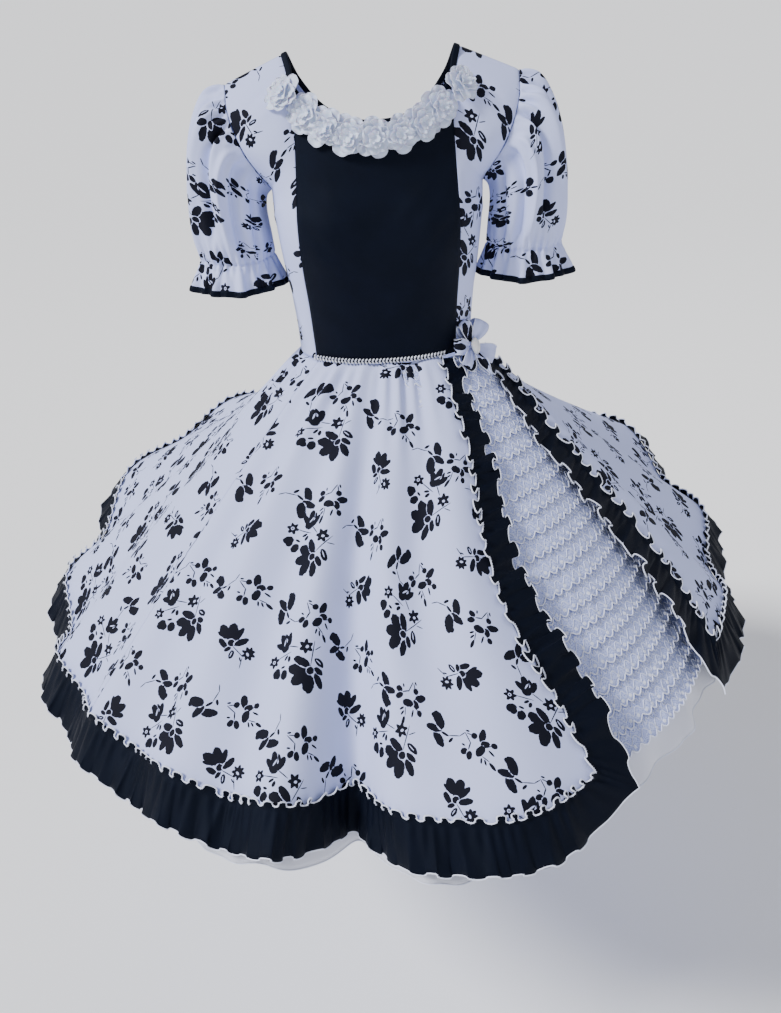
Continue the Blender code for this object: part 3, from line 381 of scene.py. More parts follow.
# Cotton and polyester poplin, plain woven and printed: matt, bluish white, with navy black flowers
flowerPrint = {
    "ground": "C1CAF4",
    "ink": "0B0D1B",
    "scale": 1.15,
    "high": 134,  # how often each column repeats
    # each motif: where it stands, its column's width, how far each column drops below the last, and
    # how far in radians each repeat of it may be turned
    "motifs": {
        "cluster": (40, 90, 164, 67, 0.9),
        "blossom": (122, 40, 164, 67, 2.6),
        "sprig": (102, 106, 82, 33.5, 5.0),
        "spray": (142, 98, 82, 33.5, 1.6),
    },
    # petals, leaves and stems of a motif: x, y, length, width, turn, and the light gap round it; a
    # negative gap cuts a light hole instead
    "shapes": {
        "sprig": [
            (-8, 4, 18, 9.5, 48, 0), (1, 12, 18, 8, 93, 0.8), (11, 8, 20, 11, 40, 0.8),
            (14, 13, 10, 7, 80, 0), (-12, 0, 9, 6.5, 70, 0), (-1, -2, 9, 2.8, 80, 0),
            (-5, -10, 6.5, 3.2, -30, 0), (1, -13, 14, 1.1, -70, 0), (6, -21, 8, 1.1, -40, 0),
        ],
        "blossom": [
            (4, 14, 17, 11, 72, 0), (10.5, 7.5, 18, 11, 38, 0), (12, 0.5, 17, 6.5, 8, 0),
            (6, 5, 13, 12, 45, 0), (-0.5, 14, 12, 4.5, 102, 0), (-6.5, 6.5, 13, 6.5, 84, 0.8),
            (-7.5, -2, 8.5, 4.5, -15, 0.8), (0, 0, 7.5, 7.5, 0, 0.9), (8, -7.5, 16, 7, -24, 0.9),
            (-9, -9, 10, 5.2, 20, 0.6), (-9, -8.6, 6, 1, 20, -1), (-2, -12, 17, 1.1, 87, 0),
            (4, -22, 9.5, 9.5, 0, 0), (4, -22, 15.5, 5, 15, 0), (4, -22, 15.5, 5, 60, 0),
            (4, -22, 15.5, 5, 105, 0), (4, -22, 15, 5, 150, 0), (2.8, -21.5, 4.4, 2.6, 70, -1),
            (-9, -23, 12, 1.1, 30, 0), (-6.5, -19.5, 5, 1.6, 60, 0),
        ],
        "spray": [
            (-7.5, 12, 13, 1.2, 98, 0), (-5, 19, 4.4, 2, -30, 0), (0, 12, 6.8, 6.4, 0, 0),
            (-4, 15, 8, 1.2, -40, 0), (8.5, 9.5, 14, 8, 55, 0), (8, 0.5, 10, 7, -20, 0.7),
            (0, -4.5, 13, 8.5, 30, 0.7), (16.7, -4, 7, 6, -30, 0), (11, -3, 7, 1.1, 0, 0),
            (10.8, -10, 8.5, 2.2, -65, 0), (3, -14, 10, 1.1, -55, 0), (-2.5, -14, 6, 2.2, 65, 0),
            (1, -17, 6, 2.2, 85, 0), (6.7, -23, 10, 3.6, -70, 0), (-9, 4, 9, 1.5, 50, 0),
            (-15, 7, 4, 2, -45, 0), (-17, 0.6, 8.5, 6.4, 10, 0), (-13, -5, 9.5, 6.4, 60, 0.6),
        ],
        "cluster": [
            (-11, 15, 12, 12, 0, 0), (-16.5, 18.5, 16, 7, 140, 0), (-12, 24, 16, 8.5, 100, 0),
            (-3, 20.5, 15, 7, 68, 0), (-6, 25.5, 9, 3.4, 112, 0), (-10.5, 20.5, 8, 1.7, 60, -1),
            (0.5, 10, 14, 1.2, -30, 0), (14.4, 5, 10, 10, 0, 0), (14.4, 5, 16, 5.4, 10, 0),
            (14.4, 5, 16, 5.4, 70, 0), (14.4, 5, 16, 5.4, 130, 0), (15.6, 4.4, 3.8, 3, 20, -1),
            (-14, 6, 21, 1.1, -3, 0), (-11.7, 2, 7, 3, 35, 0), (-7.8, -1, 6.4, 4, 70, 0),
            (-29.4, 6, 8.5, 8.5, 0, 0), (-29.4, 6, 14, 5, 0, 0), (-29.4, 6, 14, 5, 60, 0),
            (-29.4, 6, 14, 5, 120, 0), (-30, 6, 4, 4, 0, -1), (-30, 6, 1.8, 1.8, 0, 0),
            (-29, -8.5, 12, 9.5, 20, 0), (-27, -11, 9, 8, 90, 0), (-18.3, -15, 11, 9.5, 60, 0),
            (-18, -6, 6, 2.6, -10, 0), (-1, -16, 22, 12.5, 155, 0), (-2, -26, 19, 12.5, 17, 0),
            (7, -34, 20, 14, 76, 0), (6, -9.5, 20, 9, 135, 0.8), (6, -24, 14, 12, 0, 0),
            (20, -34, 19, 8.5, 107, 0.9), (22.5, -24, 13, 6.4, -45, 0.8), (12.5, -21, 8.5, 8, 0, 0.9),
            (25.5, -15.5, 14.5, 6.8, -50, 0), (24.5, -14.5, 8, 1.1, -50, -1), (19.5, -4, 27, 1.2, 66, 0),
            (27, 0, 9, 1.1, 15, 0),
        ],
    },
}


def addFlowerPrint():
    tree, shader = newMaterial(
        "printedPoplin", flowerPrint["ground"], Roughness=0.75, Specular_IOR_Level=0.15
    )
    place = clothPlace(tree)
    size = 1000 / flowerPrint["scale"]
    wobble = addNode(tree, "ShaderNodeTexNoise", {"Vector": place, "Scale": 230.0, "Detail": 1.0})
    # ink creeps along the threads, so no outline is quite clean
    edge = mathNode(tree, "MULTIPLY_ADD", wobble.outputs["Fac"], 0.36, 0.84)
    high = flowerPrint["high"]
    addWeave(tree, shader, 0.9, 0.18, place)
    whole = None
    for motif, (x, y, step, fall, freedom) in flowerPrint["motifs"].items():
        local = addNode(
            tree, "ShaderNodeMapping",
            {"Vector": place, "Location": (step / 2 - x, high / 2 - y, 0.5), "Scale": (size, size, 0)},
        ).outputs[0]
        apart = addNode(tree, "ShaderNodeSeparateXYZ", {0: local})
        column = mathNode(tree, "FLOOR", mathNode(tree, "MULTIPLY", apart.outputs[0], 1 / step))
        shift = addNode(tree, "ShaderNodeCombineXYZ", {1: mathNode(tree, "MULTIPLY", column, fall)})
        local = vectorMath(tree, "ADD", local, shift.outputs[0])[0]
        cell = vectorMath(tree, "SNAP", local, (step, high, 1))[0]
        local = vectorMath(tree, "SUBTRACT", local, cell)[0]
        local = vectorMath(tree, "SUBTRACT", local, (step / 2, high / 2, 0.5))[0]
        chance = addNode(tree, "ShaderNodeTexWhiteNoise", {"Vector": cell}, noise_dimensions="3D")
        turn = mathNode(tree, "MULTIPLY_ADD", chance.outputs["Value"], freedom, -freedom / 2)
        local = addNode(
            tree, "ShaderNodeVectorRotate", {"Vector": local, "Angle": turn}, rotation_type="Z_AXIS"
        ).outputs[0]
        reach = None
        for px, py, long, across, angle, gap in flowerPrint["shapes"][motif]:
            shape = addNode(
                tree, "ShaderNodeMapping",
                {"Vector": local, "Location": (px, py, 0), "Rotation": (0, 0, math.radians(angle)),
                 "Scale": (long / 2, across / 2, 1)},
                vector_type="TEXTURE",
            ).outputs[0]
            shape = vectorMath(tree, "LENGTH", shape)["Value"]
            if gap and reach:
                rim = mathNode(tree, "DIVIDE", 1 + 2 * max(gap, 0) / across, shape)
                reach = mathNode(tree, "MAXIMUM", reach, rim)
            if gap >= 0:
                reach = mathNode(tree, "MINIMUM", reach, shape) if reach else shape
        whole = mathNode(tree, "MINIMUM", whole, reach) if whole else reach
        # the next motif waits for this one, so the renderer keeps few values at a time
        place = vectorMath(tree, "MULTIPLY_ADD", whole, (1e-9, 1e-9, 0), place)[0]
    ink = mathNode(tree, "LESS_THAN", whole, edge)
    colour = addNode(
        tree, "ShaderNodeMix",
        {0: ink, 6: hexColour(flowerPrint["ground"]), 7: hexColour(flowerPrint["ink"])}, data_type="RGBA",
    )
    tree.links.new(colour.outputs[2], shader.inputs["Base Color"])


addFlowerPrint()

# Black poplin, piece dyed: a deep navy black, matt and faintly cloudy
tree, shader = newMaterial(
    "blackPoplin", "050812", Roughness=0.6, Specular_IOR_Level=0.12, Specular_Tint=(0.62, 0.74, 1.0, 1.0)
)
place = clothPlace(tree)
cloudy = addNode(tree, "ShaderNodeTexNoise", {"Vector": place, "Scale": 22.0, "Detail": 5.0})
addTones(tree, shader, cloudy.outputs["Fac"], ("03050D", "080D1C"))
addWeave(tree, shader, 1.0, 0.25, place)

# Polyester lace and lining, bleached white: matt, with a fine net of uneven cells as relief; the cell edges
# are light threads and the sunken cell middles are painted darker as shade
tree, shader = newMaterial("whiteLace", "C6CFEE", Roughness=0.65, Sheen_Weight=0.1)
net = addNode(
    tree, "ShaderNodeTexVoronoi", {"Vector": objectPlace(tree), "Scale": 420.0}, feature="DISTANCE_TO_EDGE"
).outputs["Distance"]
# painted shade: the cell middles, sunk as holes, are darker than the light threads at the cell edges
addTones(tree, shader, net, ("C9D3FA", "8E9CDA"), (0.04, 0.2))
addRelief(tree, shader, net, 0.35, -0.0006)

# Embroidery and overlock thread, bright trilobal polyester: white with a soft gloss
newMaterial("whiteThread", "E6EBFF", Roughness=0.45, Sheen_Weight=0.15)

# Organza, a stiff sheer plain weave: thin and a little glossy
tree, shader = newMaterial("whiteOrganza", "E3E6F5", Roughness=0.38, Alpha=0.86, Sheen_Weight=0.4)
addWeave(tree, shader, 1.1, 0.2, clothPlace(tree))

# Chiffon petals, heat-cut: soft, matt, with rounded edges that catch the light
tree, shader = newMaterial(
    "whiteChiffon", "D3DAF0", Roughness=0.6, Sheen_Weight=0.2, Subsurface_Weight=0.15, Subsurface_Scale=0.004
)
crepe = addNode(tree, "ShaderNodeTexNoise", {"Vector": objectPlace(tree), "Scale": 900.0, "Detail": 3.0})
addRelief(tree, shader, crepe.outputs["Fac"], 0.25, 0.0004)

# Gimp braid of silvery viscose cord: pale grey, with a satin gloss
newMaterial("silverGimp", "CFD2DE", Roughness=0.32, Metallic=0.25, Sheen_Weight=0.2)

# Pearly polyester button: milky, glossy, with a thin clear coat
tree, shader = newMaterial(
    "pearlButton", "D6D9DE", Roughness=0.22, Coat_Weight=0.6, Coat_Roughness=0.08, Subsurface_Weight=0.1,
    Subsurface_Scale=0.002,
)
clouds = addNode(
    tree, "ShaderNodeTexNoise",
    {"Vector": objectPlace(tree), "Scale": 130.0, "Detail": 3.0, "Distortion": 1.2},
)
addTones(tree, shader, clouds.outputs["Fac"], ("C3C7D0", "ECECEA"))


print("stage: bodice")
bodice = {
    "waistZ": -404,
    "neckDepth": 86,
    "neckCornerZ": -39,
    "bustLift": 9,
    "bust": (73, -221, 37, 48),
    "centreColumns": 10,
    "sideColumns": 5,
    "backColumns": 7,
    "underarmRow": 6,
    "shoulderTopZ": -37,
    "shoulderLowZ": -140,
    "seam": 0.08,
    "wall": 1.0,
    # centreY, seamX, seamY, seamZ, edgeX, edgeY, edgeZ, fullness; from the waist to the shoulder seam
    "frontRows": [
        (-88, 97, -60, -404, 120, 0, -404, 8), (-94, 99, -67, -363, 122, 0, -365, 8),
        (-102, 101, -77, -321, 126, 0, -323, 9), (-111, 104, -87, -279, 132, 0, -281, 10),
        (-117, 106, -96, -237, 137, 0, -239, 11), (-116, 107, -95, -200, 140, 0, -206, 12),
        (-111, 106, -87, -167, 143, 0, -177, 12), (-104, 105, -79, -135, 153, -35, -153, 8),
        (-98, 104, -70, -102, 171, -50, -119, 8), (-94, 103, -60, -70, 184, -45, -87, 7),
        (-91, 103, -47, -39, 192, -28, -61, 6), (None, 111, -20, -15, 194, -7, -44, 3),
        (None, 116, 4, 0, 195, 6, -35, 0),
    ],
    # innerX, innerY, innerZ, edgeX, edgeY, edgeZ, fullness
    "backRows": [
        (0, 80, -404, 120, 0, -404, 30), (0, 78, -363, 122, 0, -365, 31), (0, 80, -321, 126, 0, -323, 32),
        (0, 85, -279, 132, 0, -281, 33), (0, 90, -237, 137, 0, -239, 33), (0, 95, -200, 140, 0, -206, 34),
        (0, 98, -166, 143, 0, -177, 35), (0, 100, -140, 155, 37, -152, 22), (0, 100, -115, 172, 53, -119, 14),
        (42, 97, -109, 183, 49, -91, 9), (79, 85, -82, 190, 37, -67, 7), (105, 54, -39, 193, 20, -48, 4),
        (116, 4, 0, 195, 6, -35, 0),
    ],
    # startX, startY, endX, endY as shares of the flat panel, half width, depth
    "centreCreases": [
        (0.05, 0.42, 0.38, 0.62, 9, -1.5), (0.95, 0.42, 0.62, 0.62, 9, -1.5), (0.2, 0.3, 0.45, 0.5, 10, 1.2),
        (0.8, 0.28, 0.55, 0.48, 10, 1.2), (0.1, 0.1, 0.5, 0.16, 7, -1.0), (0.9, 0.08, 0.45, 0.2, 7, -0.9),
        (0.3, 0.72, 0.7, 0.68, 14, -1.4),
    ],
    "sideCreases": [
        (0.9, 0.5, 0.15, 0.36, 7, -1.6), (0.85, 0.58, 0.2, 0.48, 6, 1.2), (0.8, 0.2, 0.2, 0.12, 6, -1.2),
        (0.9, 0.28, 0.3, 0.2, 6, 1.0), (0.7, 0.78, 0.3, 0.9, 8, -1.3),
    ],
    "backCreases": [
        (0.1, 0.1, 0.7, 0.16, 8, -1.4), (0.2, 0.2, 0.85, 0.27, 8, 1.2), (0.9, 0.45, 0.4, 0.34, 9, -1.6),
        (0.85, 0.6, 0.45, 0.72, 8, -1.3), (0.15, 0.45, 0.5, 0.4, 9, 1.0),
    ],
}
waistZ = bodice["waistZ"]
cornerZ = bodice["neckCornerZ"]
seamHalf = bodice["seam"] / 2


def bodiceOutward(points):  # away from the trunk, upwards on a shoulder
    low, top = bodice["shoulderLowZ"], bodice["shoulderTopZ"]
    rise = ease((points[..., 2] - low) / (top - low))
    core = np.zeros_like(points)
    core[..., 0] = points[..., 0] * 0.75 * rise
    core[..., 2] = points[..., 2] * (1 - rise) + low * rise
    return unit(points - core)


def withBust(points):
    x, z, wide, tall = bodice["bust"]
    moved = points.copy()
    lift = bump(np.abs(points[..., 0]) - x, wide) * bump(points[..., 2] - z, tall)
    moved[..., 1] -= bodice["bustLift"] * lift
    return moved


def centreFrontGrid():
    rows = [row for row in bodice["frontRows"] if row[0] is not None]
    share = np.linspace(-1, 1, bodice["centreColumns"] + 1)
    neck = -bodice["neckDepth"] + (cornerZ + bodice["neckDepth"]) * np.abs(share) ** 2.6
    grid = np.zeros((len(rows), len(share), 3))
    for i, (centreY, seamX, seamY, seamZ, *_) in enumerate(rows):
        rise = (seamZ - waistZ) / (cornerZ - waistZ)
        grid[i, :, 0] = (seamX - seamHalf) * share
        grid[i, :, 1] = centreY + (seamY - centreY) * np.abs(share) ** 2.4
        grid[i, :, 2] = seamZ + (neck - cornerZ) * rise**2
    return withBust(grid)


def bowedRow(inner, edge, fullness, columns, side):
    inner, edge = np.asarray(inner, float), np.asarray(edge, float)
    share = np.linspace(0, 1, columns + 1)[:, None]
    chord = edge - inner
    outward = unit(np.array([chord[1], -chord[0], 0.0]) * side)
    return inner + chord * share + outward * fullness * 4 * share * (1 - share)


def sideFrontGrid():
    grid = []
    for _, seamX, seamY, seamZ, edgeX, edgeY, edgeZ, fullness in bodice["frontRows"]:
        inner = (seamX + seamHalf, seamY, seamZ)
        grid.append(bowedRow(inner, (edgeX, edgeY - seamHalf, edgeZ), fullness, bodice["sideColumns"], 1))
    return withBust(np.array(grid))


def backGrid():
    grid = []
    for innerX, innerY, innerZ, edgeX, edgeY, edgeZ, fullness in bodice["backRows"]:
        inner = (max(innerX, seamHalf), innerY, innerZ)
        grid.append(bowedRow(inner, (edgeX, edgeY + seamHalf, edgeZ), fullness, bodice["backColumns"], -1))
    return np.array(grid)


def declareSheet(piece, flat):  # the cut comes from the flat panel itself
    low, high = flat.reshape(-1, 2).min(0), flat.reshape(-1, 2).max(0)
    a, b = flat[1:, 1:] - flat[:-1, :-1], flat[1:, :-1] - flat[:-1, 1:]  # the diagonals of each cell
    area = np.abs(a[..., 0] * b[..., 1] - a[..., 1] * b[..., 0]).sum() / 2
    wide, long = (high - low) * mm
    area = float(np.clip(area * mm * mm, 0.301 * wide * long, wide * long))


def addPanel(name, node, coarse, size, creases, cloth, slotName, flip=False):
    grid = refined(coarse, *size)
    out = bodiceOutward(grid)
    flat = laidFlat(grid[::-1])[::-1]
    outer = creased(seamDipped(grid, out, 1, 1), out, creases)
    inner = outer - out * bodice["wall"]
    if flip:
        outer, inner = mirrored(outer), mirrored(inner)
    shift = np.array([37.0, 61.0]) * (2 if flip else 1)
    piece = addPiece(name, shellMesh(name, [(outer, inner, flat + shift)]), cloth, slotName, node)
    declareSheet(piece, flat)


addPanel("bodiceCentreFront", "bodice_centre_front", centreFrontGrid(), (96, 71), bodice["centreCreases"],
         "blackPoplin", "black_cloth")
for side, flip in (("Left", False), ("Right", True)):
    low = side.lower()
    addPanel(f"bodiceSideFront{side}", f"bodice_side_front_{low}", sideFrontGrid(), (121, 41),
             bodice["sideCreases"], "printedPoplin", "printed_cloth", flip)
    addPanel(f"bodiceBack{side}", f"bodice_back_{low}", backGrid(), (121, 57),
             bodice["backCreases"], "printedPoplin", "printed_cloth", flip)


def roundBand(name, node, path, up, out, high, deep):
    # a narrow folded band round an opening: a soft-cornered section that stands up from its line
    turn = np.linspace(0, 2 * pi, 10, endpoint=False)
    section = [np.sign(way) * np.abs(way) ** 0.7 for way in (np.cos(turn), np.sin(turn))]
    rows = [path + up * high * (0.5 + 0.5 * a) + out * deep * 0.5 * b for a, b in zip(*section)]
    grid = np.stack(rows + rows[:1])
    grid = np.concatenate([grid, grid[:, :1]], axis=1)
    number = np.arange(grid.shape[0] * grid.shape[1]).reshape(grid.shape[:2])
    around = np.linspace(0, 2 * (high + deep), len(grid))
    flat = flatPlaces(lengthAlong(grid[0])[None, :], around[:, None]).reshape(-1, 2)
    mesh = clothMesh(name, grid.reshape(-1, 3), quads(number).tolist(), flat, True)
    addPiece(name, mesh, "blackPoplin", "black_cloth", node)


def fullNeckline():
    # a ring from the centre front over the wearer's left shoulder, and the cloth's way out at each point
    centre, side, back = centreFrontGrid(), sideFrontGrid(), backGrid()
    middle, last = bodice["centreColumns"] // 2, bodice["centreColumns"]
    corner = len(centre) - 1
    top = len(bodice["backRows"]) - 1
    first = next(i for i, row in enumerate(bodice["backRows"]) if row[0] > 0) - 1
    points = [centre[-1, j] for j in range(middle, last)]
    away = [centre[-1, j] - centre[-2, j] for j in range(middle, last)]
    points += [side[i, 0] for i in range(corner, top + 1)]
    overAway = [side[i, 0] - side[i, 1] for i in range(corner, top + 1)]
    overAway[0] = overAway[0] + away[-1]
    away += overAway
    for i in range(top - 1, first - 1, -1):
        surface = np.cross(bodiceOutward(back[i, 0]), back[min(i + 1, top), 0] - back[i, 0])
        points.append(back[i, 0])
        away.append(-surface if surface[2] < 0 else surface)
    points, away = np.array(points), unit(np.array([unit(v) for v in away]))
    for grid in (points, away):
        grid[0, 0] = grid[-1, 0] = 0
    points = np.concatenate([points, mirrored(points[1:-1][::-1])])
    away = np.concatenate([away, mirrored(away[1:-1][::-1])])
    return points, unit(away)


def ringRefined(values, count):
    around = np.concatenate([values[-3:], values, values[:3]])
    at = np.linspace(0, len(values), count, endpoint=False) + 3
    return curveThrough(at, np.arange(len(around)), around)


neckBinding = {"high": 8.6, "deep": 3.2, "overlap": 1.2, "inside": 0.5, "stations": 320}
neckPoints, neckAway = fullNeckline()
points = ringRefined(neckPoints, neckBinding["stations"])
away = unit(ringRefined(neckAway, neckBinding["stations"]))
outward = bodiceOutward(points)
line = points - away * neckBinding["overlap"] - outward * neckBinding["inside"]
roundBand("neckBinding", "neck_binding", line, away, outward, neckBinding["high"], neckBinding["deep"])


print("stage: sleeves")
sleeve = {
    "columns": 30,
    "waves": 10,
    "rows": 6,
    "cuff": (199, -265),
    "cuffHalf": (51, 56),
    "headPush": 46,
    "cuffPuff": 19,
    "cuffRise": 51,
    "gather": 3.6,
    "underarmAway": (0.6, 0.0, 0.8),
    "frill": [(16, 5, 4), (35, 11, 6)],  # drop, flare, wave
    "foldGain": 2.3,  # the folds in the table below are drawn deeper by this factor
    "headPleats": (26, 3.0),  # waves round the sleeve, depth
    "cuffGathers": (36, 2.3),
    "frillWaves": (19, 3.4),
    "elasticDip": 2.2,
    "bindingHigh": 9,
    "bindingDeep": 3.4,
    "fineColumns": 260,
    "fineRows": 97,
    # long soft folds: turn round the sleeve in radians, half width, depth, first and last row
    "folds": [
        (0.75, 0.10, -3.5, 1.0, 5.4), (1.25, 0.13, -5.0, 0.4, 5.8), (1.62, 0.09, 3.0, 0.8, 5.2),
        (2.05, 0.12, -5.5, 0.3, 5.0), (2.5, 0.14, 3.0, 0.6, 5.6), (2.95, 0.1, -3.5, 0.3, 3.6),
        (3.5, 0.12, -4.0, 0.3, 4.6), (4.0, 0.12, 3.0, 0.8, 5.4), (4.45, 0.12, -4.5, 0.5, 5.6),
        (5.0, 0.1, 3.0, 1.0, 5.4), (5.5, 0.12, -4.0, 1.0, 5.6),
    ],
}


def armholeRing():
    side, back = sideFrontGrid(), backGrid()
    under, top = bodice["underarmRow"], len(bodice["frontRows"]) - 1
    pairs = [(side[i, -1], side[i, -2]) for i in range(under, top + 1)]
    pairs += [(back[i, -1], back[i, -2]) for i in range(top - 1, under, -1)]
    edge = np.array([pair[0] for pair in pairs])
    away = unit(edge - np.array([pair[1] for pair in pairs]))
    away[0] = sleeve["underarmAway"]
    return edge, away


def ringSteps(points, count):
    sides = np.linalg.norm(np.roll(points, -1, axis=0) - points, axis=1)
    cuts = np.maximum(1, np.round(sides / sides.sum() * count).astype(int))
    while cuts.sum() != count:
        size = sides / cuts
        cuts[size.argmax() if cuts.sum() < count else size.argmin()] += np.sign(count - cuts.sum())
    return np.concatenate([i + np.arange(n) / n for i, n in enumerate(cuts)])


def sleeveGrid():  # the solid's own rows, before the fine folds
    edge, away = armholeRing()
    at = ringSteps(edge, sleeve["columns"])
    first = at.astype(int)
    share = (at - first)[:, None]
    ring = edge + away * 0.5
    start = ring[first] * (1 - share) + ring[(first + 1) % len(ring)] * share
    steps = np.linalg.norm(np.roll(start, -1, axis=0) - start, axis=1)
    turn = 2 * pi * np.concatenate([[0], np.cumsum(steps)[:-1]]) / steps.sum()
    outerShare = (1 - np.cos(turn)) / 2
    radial = np.stack([-np.cos(turn), -np.sin(turn), np.zeros_like(turn)], axis=1)
    x, z = sleeve["cuff"]
    cuff = radial * (*sleeve["cuffHalf"], 0) + (x, 0, z)
    head = start.copy()
    head[:, 0] += 20 + sleeve["headPush"] * outerShare
    head[:, 1] -= 26 * np.sin(turn)
    head[:, 2] += 10 * outerShare - 9 * (1 - outerShare)
    low = cuff + radial * (sleeve["cuffPuff"] * (0.25 + 0.75 * outerShare))[:, None]
    low[:, 2] += sleeve["cuffRise"] * (0.35 + 0.9 * outerShare)
    wave = np.sin(turn * sleeve["waves"])
    rows = []
    for share in np.linspace(0, 1, sleeve["rows"] + 1):
        weights = [(1 - share) ** 3, 3 * share * (1 - share) ** 2, 3 * share**2 * (1 - share), share**3]
        row = sum(w * p for w, p in zip(weights, (start, head, low, cuff)))
        atHead = bump(share - 0.16, 0.1) * ease(outerShare * 1.6 - 0.3)
        puckers = sleeve["gather"] * wave * (atHead + bump(share - 1, 0.2) * 0.8) * (share > 0)
        rows.append(row + radial * puckers[:, None] * 0.6)
    lobes = np.sin(turn * 5 + 0.7)
    for drop, flare, waving in sleeve["frill"]:
        row = cuff + radial * (flare + waving * (0.55 * wave + 0.45 * lobes))[:, None]
        row[:, 2] -= drop
        rows.append(row)
    return np.array(rows), turn, radial


def addSleeves():
    rows, turn, radial = sleeveGrid()
    grid = refined(rows, sleeve["fineRows"], sleeve["fineColumns"], True)
    out = gridNormals(grid, True)
    fineTurn = np.linspace(0, len(turn), sleeve["fineColumns"], endpoint=False)
    fineTurn = np.interp(fineTurn, np.arange(len(turn) + 1), np.append(turn, 2 * pi))
    level = np.linspace(0, len(rows) - 1, sleeve["fineRows"])[:, None]
    outerShare = (1 - np.cos(fineTurn)) / 2
    lift = np.zeros(grid.shape[:2])
    for centre, halfWidth, depth, first, last in sleeve["folds"]:
        window = ease((level - first + 0.6) / 1.2) * ease((last + 0.3 - level) / 1.2)
        lean = centre + 0.06 * np.sin(level * 1.1 + centre * 3)
        lift += sleeve["foldGain"] * depth * bump(fineTurn - lean, halfWidth) * window
    cuffRow = sleeve["rows"]
    waves, depth = sleeve["headPleats"]
    pleats = np.sin(fineTurn * waves) * ease(outerShare * 2.2 - 0.9)
    lift += depth * pleats * bump(level - 0.5, 0.6) * ease(level * 4)
    waves, depth = sleeve["cuffGathers"]
    uneven = 0.8 + 0.3 * np.sin(fineTurn * 7 + 1)
    gathers = np.sin(fineTurn * waves + 0.4 * np.sin(fineTurn * 5))
    lift += depth * gathers * uneven * bump(level - cuffRow, 0.8)
    waves, depth = sleeve["frillWaves"]
    frillShare = ease((level - cuffRow) / 2)
    lift += depth * np.sin(fineTurn * waves + 0.5 * np.sin(fineTurn * 3)) * frillShare
    lift -= sleeve["elasticDip"] * bump(level - cuffRow, 0.12)  # the elastic pulls the cloth in
    outer = grid + out * lift[..., None]
    normals = gridNormals(outer, True)
    inner = outer - normals * bodice["wall"]
    wide = np.concatenate([grid, grid[:, :1]], axis=1)
    middle = lengthAlong(wide[sleeve["fineRows"] // 2])
    down = lengthAlong(grid[:, sleeve["fineColumns"] // 2])
    flat = flatPlaces(middle[None, :], -down[:, None])
    edge = (outer[-1] + inner[-1]) / 2
    downward = unit(grid[-1] - grid[-3])
    for side, turned, shift in (("Left", lambda g: g, (20, 90)), ("Right", mirrored, (95, 30))):
        name = f"sleeve{side}"
        mesh = shellMesh(name, [(turned(outer), turned(inner), flat + shift)], True)
        piece = addPiece(name, mesh, "printedPoplin", "printed_cloth", f"sleeve_{side.lower()}")
        bandOut = turned(unit(outer[-1] - inner[-1]))
        roundBand(f"sleeveBinding{side}", f"sleeve_binding_{side.lower()}", turned(edge - downward * 2),
                  turned(downward), bandOut, sleeve["bindingHigh"], sleeve["bindingDeep"])


addSleeves()


print("stage: skirt")
skirt = {
    # angle, radius and z of the hem, bulge of the cloth above it; a negative bulge is a hollow
    "hemRows": [
        (-180, 565, -705, -18), (-160, 568, -702, -22), (-142, 574, -702, -26), (-125, 560, -752, -22),
        (-105, 538, -808, -8), (-88, 520, -828, 4), (-65, 510, -820, 8), (-45, 512, -814, 12),
        (-28, 514, -820, 14), (0, 510, -830, 14), (16, 528, -836, 16), (28, 515, -812, 14),
        (45, 505, -800, 12), (65, 488, -797, 8), (88, 490, -800, 2), (105, 512, -788, -4),
        (125, 545, -752, -12), (142, 562, -718, -18), (160, 566, -705, -22), (180, 565, -705, -18),
    ],
    "bellEase": 0.8,
    "foldEase": 1.5,
    # side, first and last angle at the hem, columns of the solid
    "gores": [
        ("Front", 27, -56, 25), ("Right", -56, -140, 20), ("Back", -140, -226, 19), ("Left", -226, -298, 16),
    ],
    "fineRows": 97,
    "fineShare": 6,
    # share of the way down, swing of the slit's front edge and of its back edge
    "slitRows": [
        (0, 18, 22), (0.12, 9, 17), (0.25, 3, 9), (0.4, -3, 7), (0.5, -5, 6), (0.62, -5, 6), (0.8, -2, 4),
        (1, 0, 0),
    ],
    "swingReach": 45,
    # angle, half width in degrees, depth at the hem
    "folds": [
        (13, 10, 22), (-9, 5, -14), (-17, 4.5, 16), (-25, 4, -8), (-34, 5, 10), (-43, 5, -12), (-53, 5, 12),
        (-63, 5, -13), (-74, 6, 13), (-86, 6, -15),
        *[(-99 - 13 * k, 6, -16 if k % 2 else 15) for k in range(11)],  # even folds round the back
        (-242, 6, -15), (-255, 6, 14), (-268, 6, -12), (-281, 6, 8),
    ],
    "valley": (-8.5, 5, 62, 2.6),  # angle, half width, depth at the hem, ease
    # the same for soft folds that start higher up, with the share of the way down where each is deepest
    "softFolds": [
        (20, 6, 8, 0.5), (9, 5, -8, 0.42), (-1, 5, 8, 0.55), (-11, 4, -8, 0.45), (-19, 4, 8, 0.55),
        (-28, 5, -9, 0.6), (-38, 4, 8, 0.5), (-48, 4, -8, 0.55), (-290, 5, 7, 0.5), (-275, 5, -8, 0.6),
    ],
    "puckerCount": 46,
    "puckerDepth": 2.5,
}


def wrapped(angle):
    return (np.asarray(angle, float) + 180) % 360 - 180


waistHalf = np.concatenate([
    centreFrontGrid()[0][bodice["centreColumns"] // 2:], sideFrontGrid()[0], backGrid()[0][::-1]])
waistAngles = np.degrees(np.arctan2(waistHalf[:, 0], -waistHalf[:, 1]))
waistOrder = np.argsort(waistAngles)
waistAngles, waistRadii = waistAngles[waistOrder], np.hypot(waistHalf[:, 0], waistHalf[:, 1])[waistOrder]


def waistRadius(angle):
    return np.interp(np.abs(wrapped(angle)), waistAngles, waistRadii)


def hemValue(angle, column):
    table = np.array(skirt["hemRows"], float)
    return curveThrough(wrapped(angle), table[:, 0], table[:, column])


